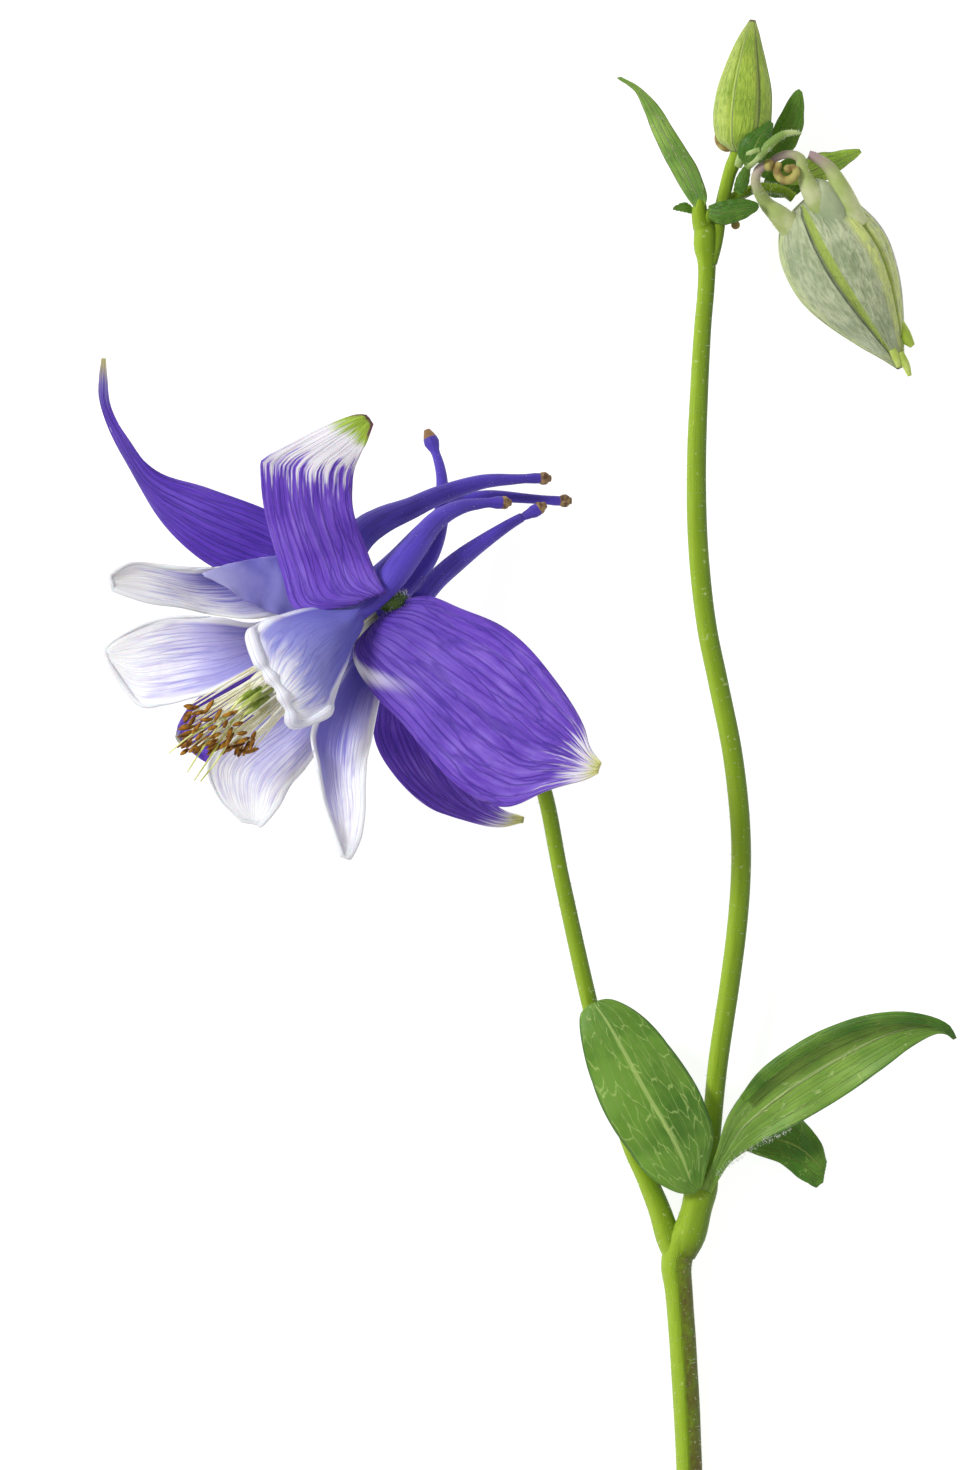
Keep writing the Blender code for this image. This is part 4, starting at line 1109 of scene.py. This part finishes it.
def build_stem():
    green = stalk_finish("stalk_green", "A4C430", "82A410", "587806", "60521C")
    pieces = []
    for rings, stations in STALKS.values():

        def swell(u, v):
            grain = noise.noise(Vector((u * 9.0, v * rings * 0.7, rings)))
            return 1.0 + 0.035 * math.sin(math.tau * 3.0 * u + 0.8) + 0.02 * grain

        pieces.append(tube_mesh(stations, 30, rings * 5, swell))
    pieces += [tube_mesh(stations, 24, 24) for stations in STALK_JOINTS]
    add_piece("stalks", fused(pieces, "stalk"), green, "stem")
    heart = ball(RECEPTACLE, RECEPTACLE_RADIUS, 4, RECEPTACLE_STRETCH)
    add_piece("receptacle", heart, plain("receptacle_green"), "stem")
    down = hairs([(STALKS["lower"][1], 420, 0.34), (STALKS["flower_stalk"][1], 620, 0.26),
                  (STALKS["upper"][1], 700, 0.26), (STALKS["large_bud_stalk"][1], 260, 0.34),
                  (RECEPTACLE_DOWN, 200, 0.45)], 3)
    add_piece("stem_hairs", down, plain("hair_white"))


def anther_lobes(u, v):
    """Radius over (u, v) of an anther: two lobes that taper to both ends."""
    return (0.25 + 0.8 * math.sin(math.pi * (0.06 + 0.86 * v)) ** 0.7) * (
        1.0 + 0.22 * math.cos(2.0 * math.tau * u))


def bundle_grooves(u, v):
    """Radius over (u, v) of the bundle of filaments."""
    return 1.0 + 0.07 * math.sin(u * math.tau * 24.0)


def build_stamens():
    threads, heads, styles, carpels = (bmesh.new() for _ in range(4))
    for index in range(ANTHERS):
        share = math.sqrt((index + 0.5) / ANTHERS)
        x = share * math.cos(index * GOLDEN_ANGLE)
        y = share * math.sin(index * GOLDEN_ANGLE)
        reach = 26.6 + 5.4 * (1.0 - math.hypot(x, y)) + 1.6 * math.sin(index * 2.4)
        across = FLOWER_FRONT * x + FLOWER_SIDE * y
        start, middle, end = (
            in_flower(along) + across * spread * MM
            for along, spread in zip((FILAMENT_START, reach * 0.62, reach), FILAMENT_SPREAD))
        wobble = FLOWER_SIDE * 0.35 * MM * math.sin(index * 1.7)
        add_tube(threads, [(start, 0.22), (middle + wobble, 0.19), (end, 0.10)], 6, 12)
        tilt = ((end - middle).normalized() + FLOWER_SIDE * 0.45 * math.sin(index * 3.1)
                + FLOWER_FRONT * 0.35 * math.cos(index * 1.3)).normalized()
        half = (0.82 + 0.22 * math.sin(index * 5.3)) * MM
        add_tube(heads, [(end - tilt * half, 0.31), (end, 0.33), (end + tilt * half, 0.27)],
                 10, 10, anther_lobes)
    bundle = [(in_flower(along), radius) for along, radius in BUNDLE]
    add_tube(threads, bundle, 96, 40, bundle_grooves)
    for k, tip in enumerate(STYLE_TIPS):
        end = spot(tip)
        start = in_flower(FILAMENT_START, 0.2, 90.0 * k)
        belly = in_flower(16.0, 0.7, 90.0 * k)
        bend = in_flower(23.0, 0.9, 90.0 * k) + FLOWER_FRONT * 3.4 * MM
        lobe = in_flower(25.0, 0.8, 90.0 * k) + FLOWER_FRONT * 3.8 * MM
        add_tube(carpels, [(start, 0.5), (belly, 0.5), (bend, 0.42), (lobe, 0.16)], 10, 24)
        curl = (end - lobe).normalized().cross(FLOWER_FRONT) * (0.5 - 0.3 * k) * MM
        add_tube(styles, [(bend, 0.2), (lobe, 0.16), (lobe.lerp(end, 0.6) + curl, 0.13),
                          (end, 0.09)], 8, 24)
    for name, bm, material in (("filaments", threads, "filament_cream"),
                               ("anthers", heads, "anther_gold"),
                               ("styles", styles, "style_pale"),
                               ("carpels", carpels, "carpel_green")):
        add_piece(name, bm, plain(material), "stamens")


def bud_lobe():
    """Rounded hood of the large bud, between its spurs."""
    bm = bmesh.new()
    bmesh.ops.create_uvsphere(bm, u_segments=48, v_segments=30, radius=1.0 * MM)
    for vert in bm.verts:
        vert.co *= 1.0 + 0.05 * noise.noise(vert.co * 3000.0)
    along_bud = (spot(LARGE_BUD[4]) - spot(LARGE_BUD[0])).normalized()
    return settle(bm, spot(LOBE_PLACE), LOBE_STRETCH, along_bud)


def build_buds():
    silver = bud_finish("bud_silver", "C0C9A2", "93A279", "A2B84C", LARGE_BUD_SEAMS,
                        LARGE_BUD_BLUSH, 1.3)
    young = bud_finish("young_bud", "A8C244", "84A430", "C0D468", SMALL_BUD_SEAMS,
                       SMALL_BUD_BLUSH, 0.8)
    large = tube_mesh(LARGE_BUD, 120, 90, bud_folds(LARGE_BUD_SEAMS, 0.09, 0.014, 0.012))
    small = tube_mesh(SMALL_BUD, 90, 70, bud_folds(SMALL_BUD_SEAMS, 0.08, 0.012, 0.006))
    curls = joined_tubes(BUD_CURLS, 12, 40)
    for knob in BUD_KNOBS:
        join_into(curls, ball(knob, knob[3], 3))
    down = hairs([(LARGE_BUD, 900, 0.22), (LARGE_BUD_SPURS[0][:5], 160, 0.25),
                  (LARGE_BUD_SPURS[1][:4], 120, 0.25)], 11)
    for name, bm, material, node in (
            ("large_bud_body", large, silver, "large_bud"),
            ("large_bud_spurs", joined_tubes(LARGE_BUD_SPURS, 18, 44), plain("bud_spur"),
             "large_bud"),
            ("bud_knobs", curls, plain("knob_tan"), None),
            ("large_bud_lobe", bud_lobe(), silver, "large_bud"),
            ("small_bud_body", small, young, "small_bud"),
            ("large_bud_petal_tips", joined_tubes(BUD_TIPS, 12, 20), plain("bud_tip_green"),
             None),
            ("bud_hairs", down, plain("hair_white"), None)):
        add_piece(name, bm, material, node)


def build_leaves():
    greens = {name: leaf_finish(name, *look) for name, look in LEAF_LOOKS.items()}
    for name, rows in LEAFLETS.items():
        finish, ripple, scallop = LEAFLET_SHAPES[name]
        build_blade(name + "_blade", rows, greens[finish], "leaf_green", LEAF_THICK, name,
                    ripple=ripple, ripples=3.0, relief=0.09, veins=6, scallop=scallop,
                    scallops=3.0)
    for name, rows in BRACTS.items():
        finish = BRACT_FINISHES.get(name, "leaf_small")
        build_blade(name + "_blade", rows, greens[finish], "bract_green", BRACT_THICK, name,
                    16, 44, ripple=0.15, relief=0.08, veins=4)
    for name, rows in YOUNG_LEAVES.items():
        build_blade(name, rows, greens["leaf_small"], "bract_green", BRACT_THICK, None,
                    14, 36, ripple=0.12, relief=0.06, veins=4)
    add_piece("young_shoots", joined_tubes(SHOOTS, 10, 40), plain("shoot_green"))
    fringe = hairs([(LEAF_FRINGE, 240, 0.4), (SHOOTS[0], 120, 0.25)], 19)
    add_piece("leaf_hairs", fringe, plain("hair_white"))


def build_floor():
    f = Finish("floor_white", 0.9, emission_strength=FLOOR_GLOW, emission_color=WHITE)
    low, high = FLOOR_GREYS
    bm = bmesh.new()
    bmesh.ops.create_grid(bm, x_segments=2, y_segments=2, size=FLOOR_SIZE)
    link_mesh("floor", bm, f.coat(f.paint(low, (high, f.noise(3.0)))))


def add_light(name, place, size, power):
    light = bpy.data.lights.new(name, "AREA")
    light.size = size
    light.energy = power
    lamp = bpy.data.objects.new(name, light)
    lamp.location = place
    lamp.rotation_euler = (-Vector(place)).to_track_quat("-Z", "Y").to_euler()
    bpy.context.scene.collection.objects.link(lamp)


def add_camera():
    camera = bpy.data.cameras.new("camera")
    camera.lens = LENS
    camera.sensor_width = SENSOR
    camera.clip_start, camera.clip_end = CLIP
    eye = bpy.data.objects.new("camera", camera)
    distance = VIEW_ROWS * GRID * MM * LENS / SENSOR
    eye.location = spot((*VIEW_CENTRE, FOCUS_HEIGHT)) + UP * distance
    bpy.context.scene.collection.objects.link(eye)
    bpy.context.scene.camera = eye


def light_scene():
    world = bpy.data.worlds.new("studio")
    world.use_nodes = True
    glow = world.node_tree.nodes["Background"].inputs
    glow["Color"].default_value = WHITE
    glow["Strength"].default_value = WORLD_GLOW
    bpy.context.scene.world = world
    bpy.context.scene.view_settings.view_transform = "Standard"
    for name, light in LIGHTS.items():
        add_light(name, *light)


build_stem()
build_sepals()
build_petals()
build_stamens()
build_buds()
build_leaves()
build_floor()
light_scene()
add_camera()
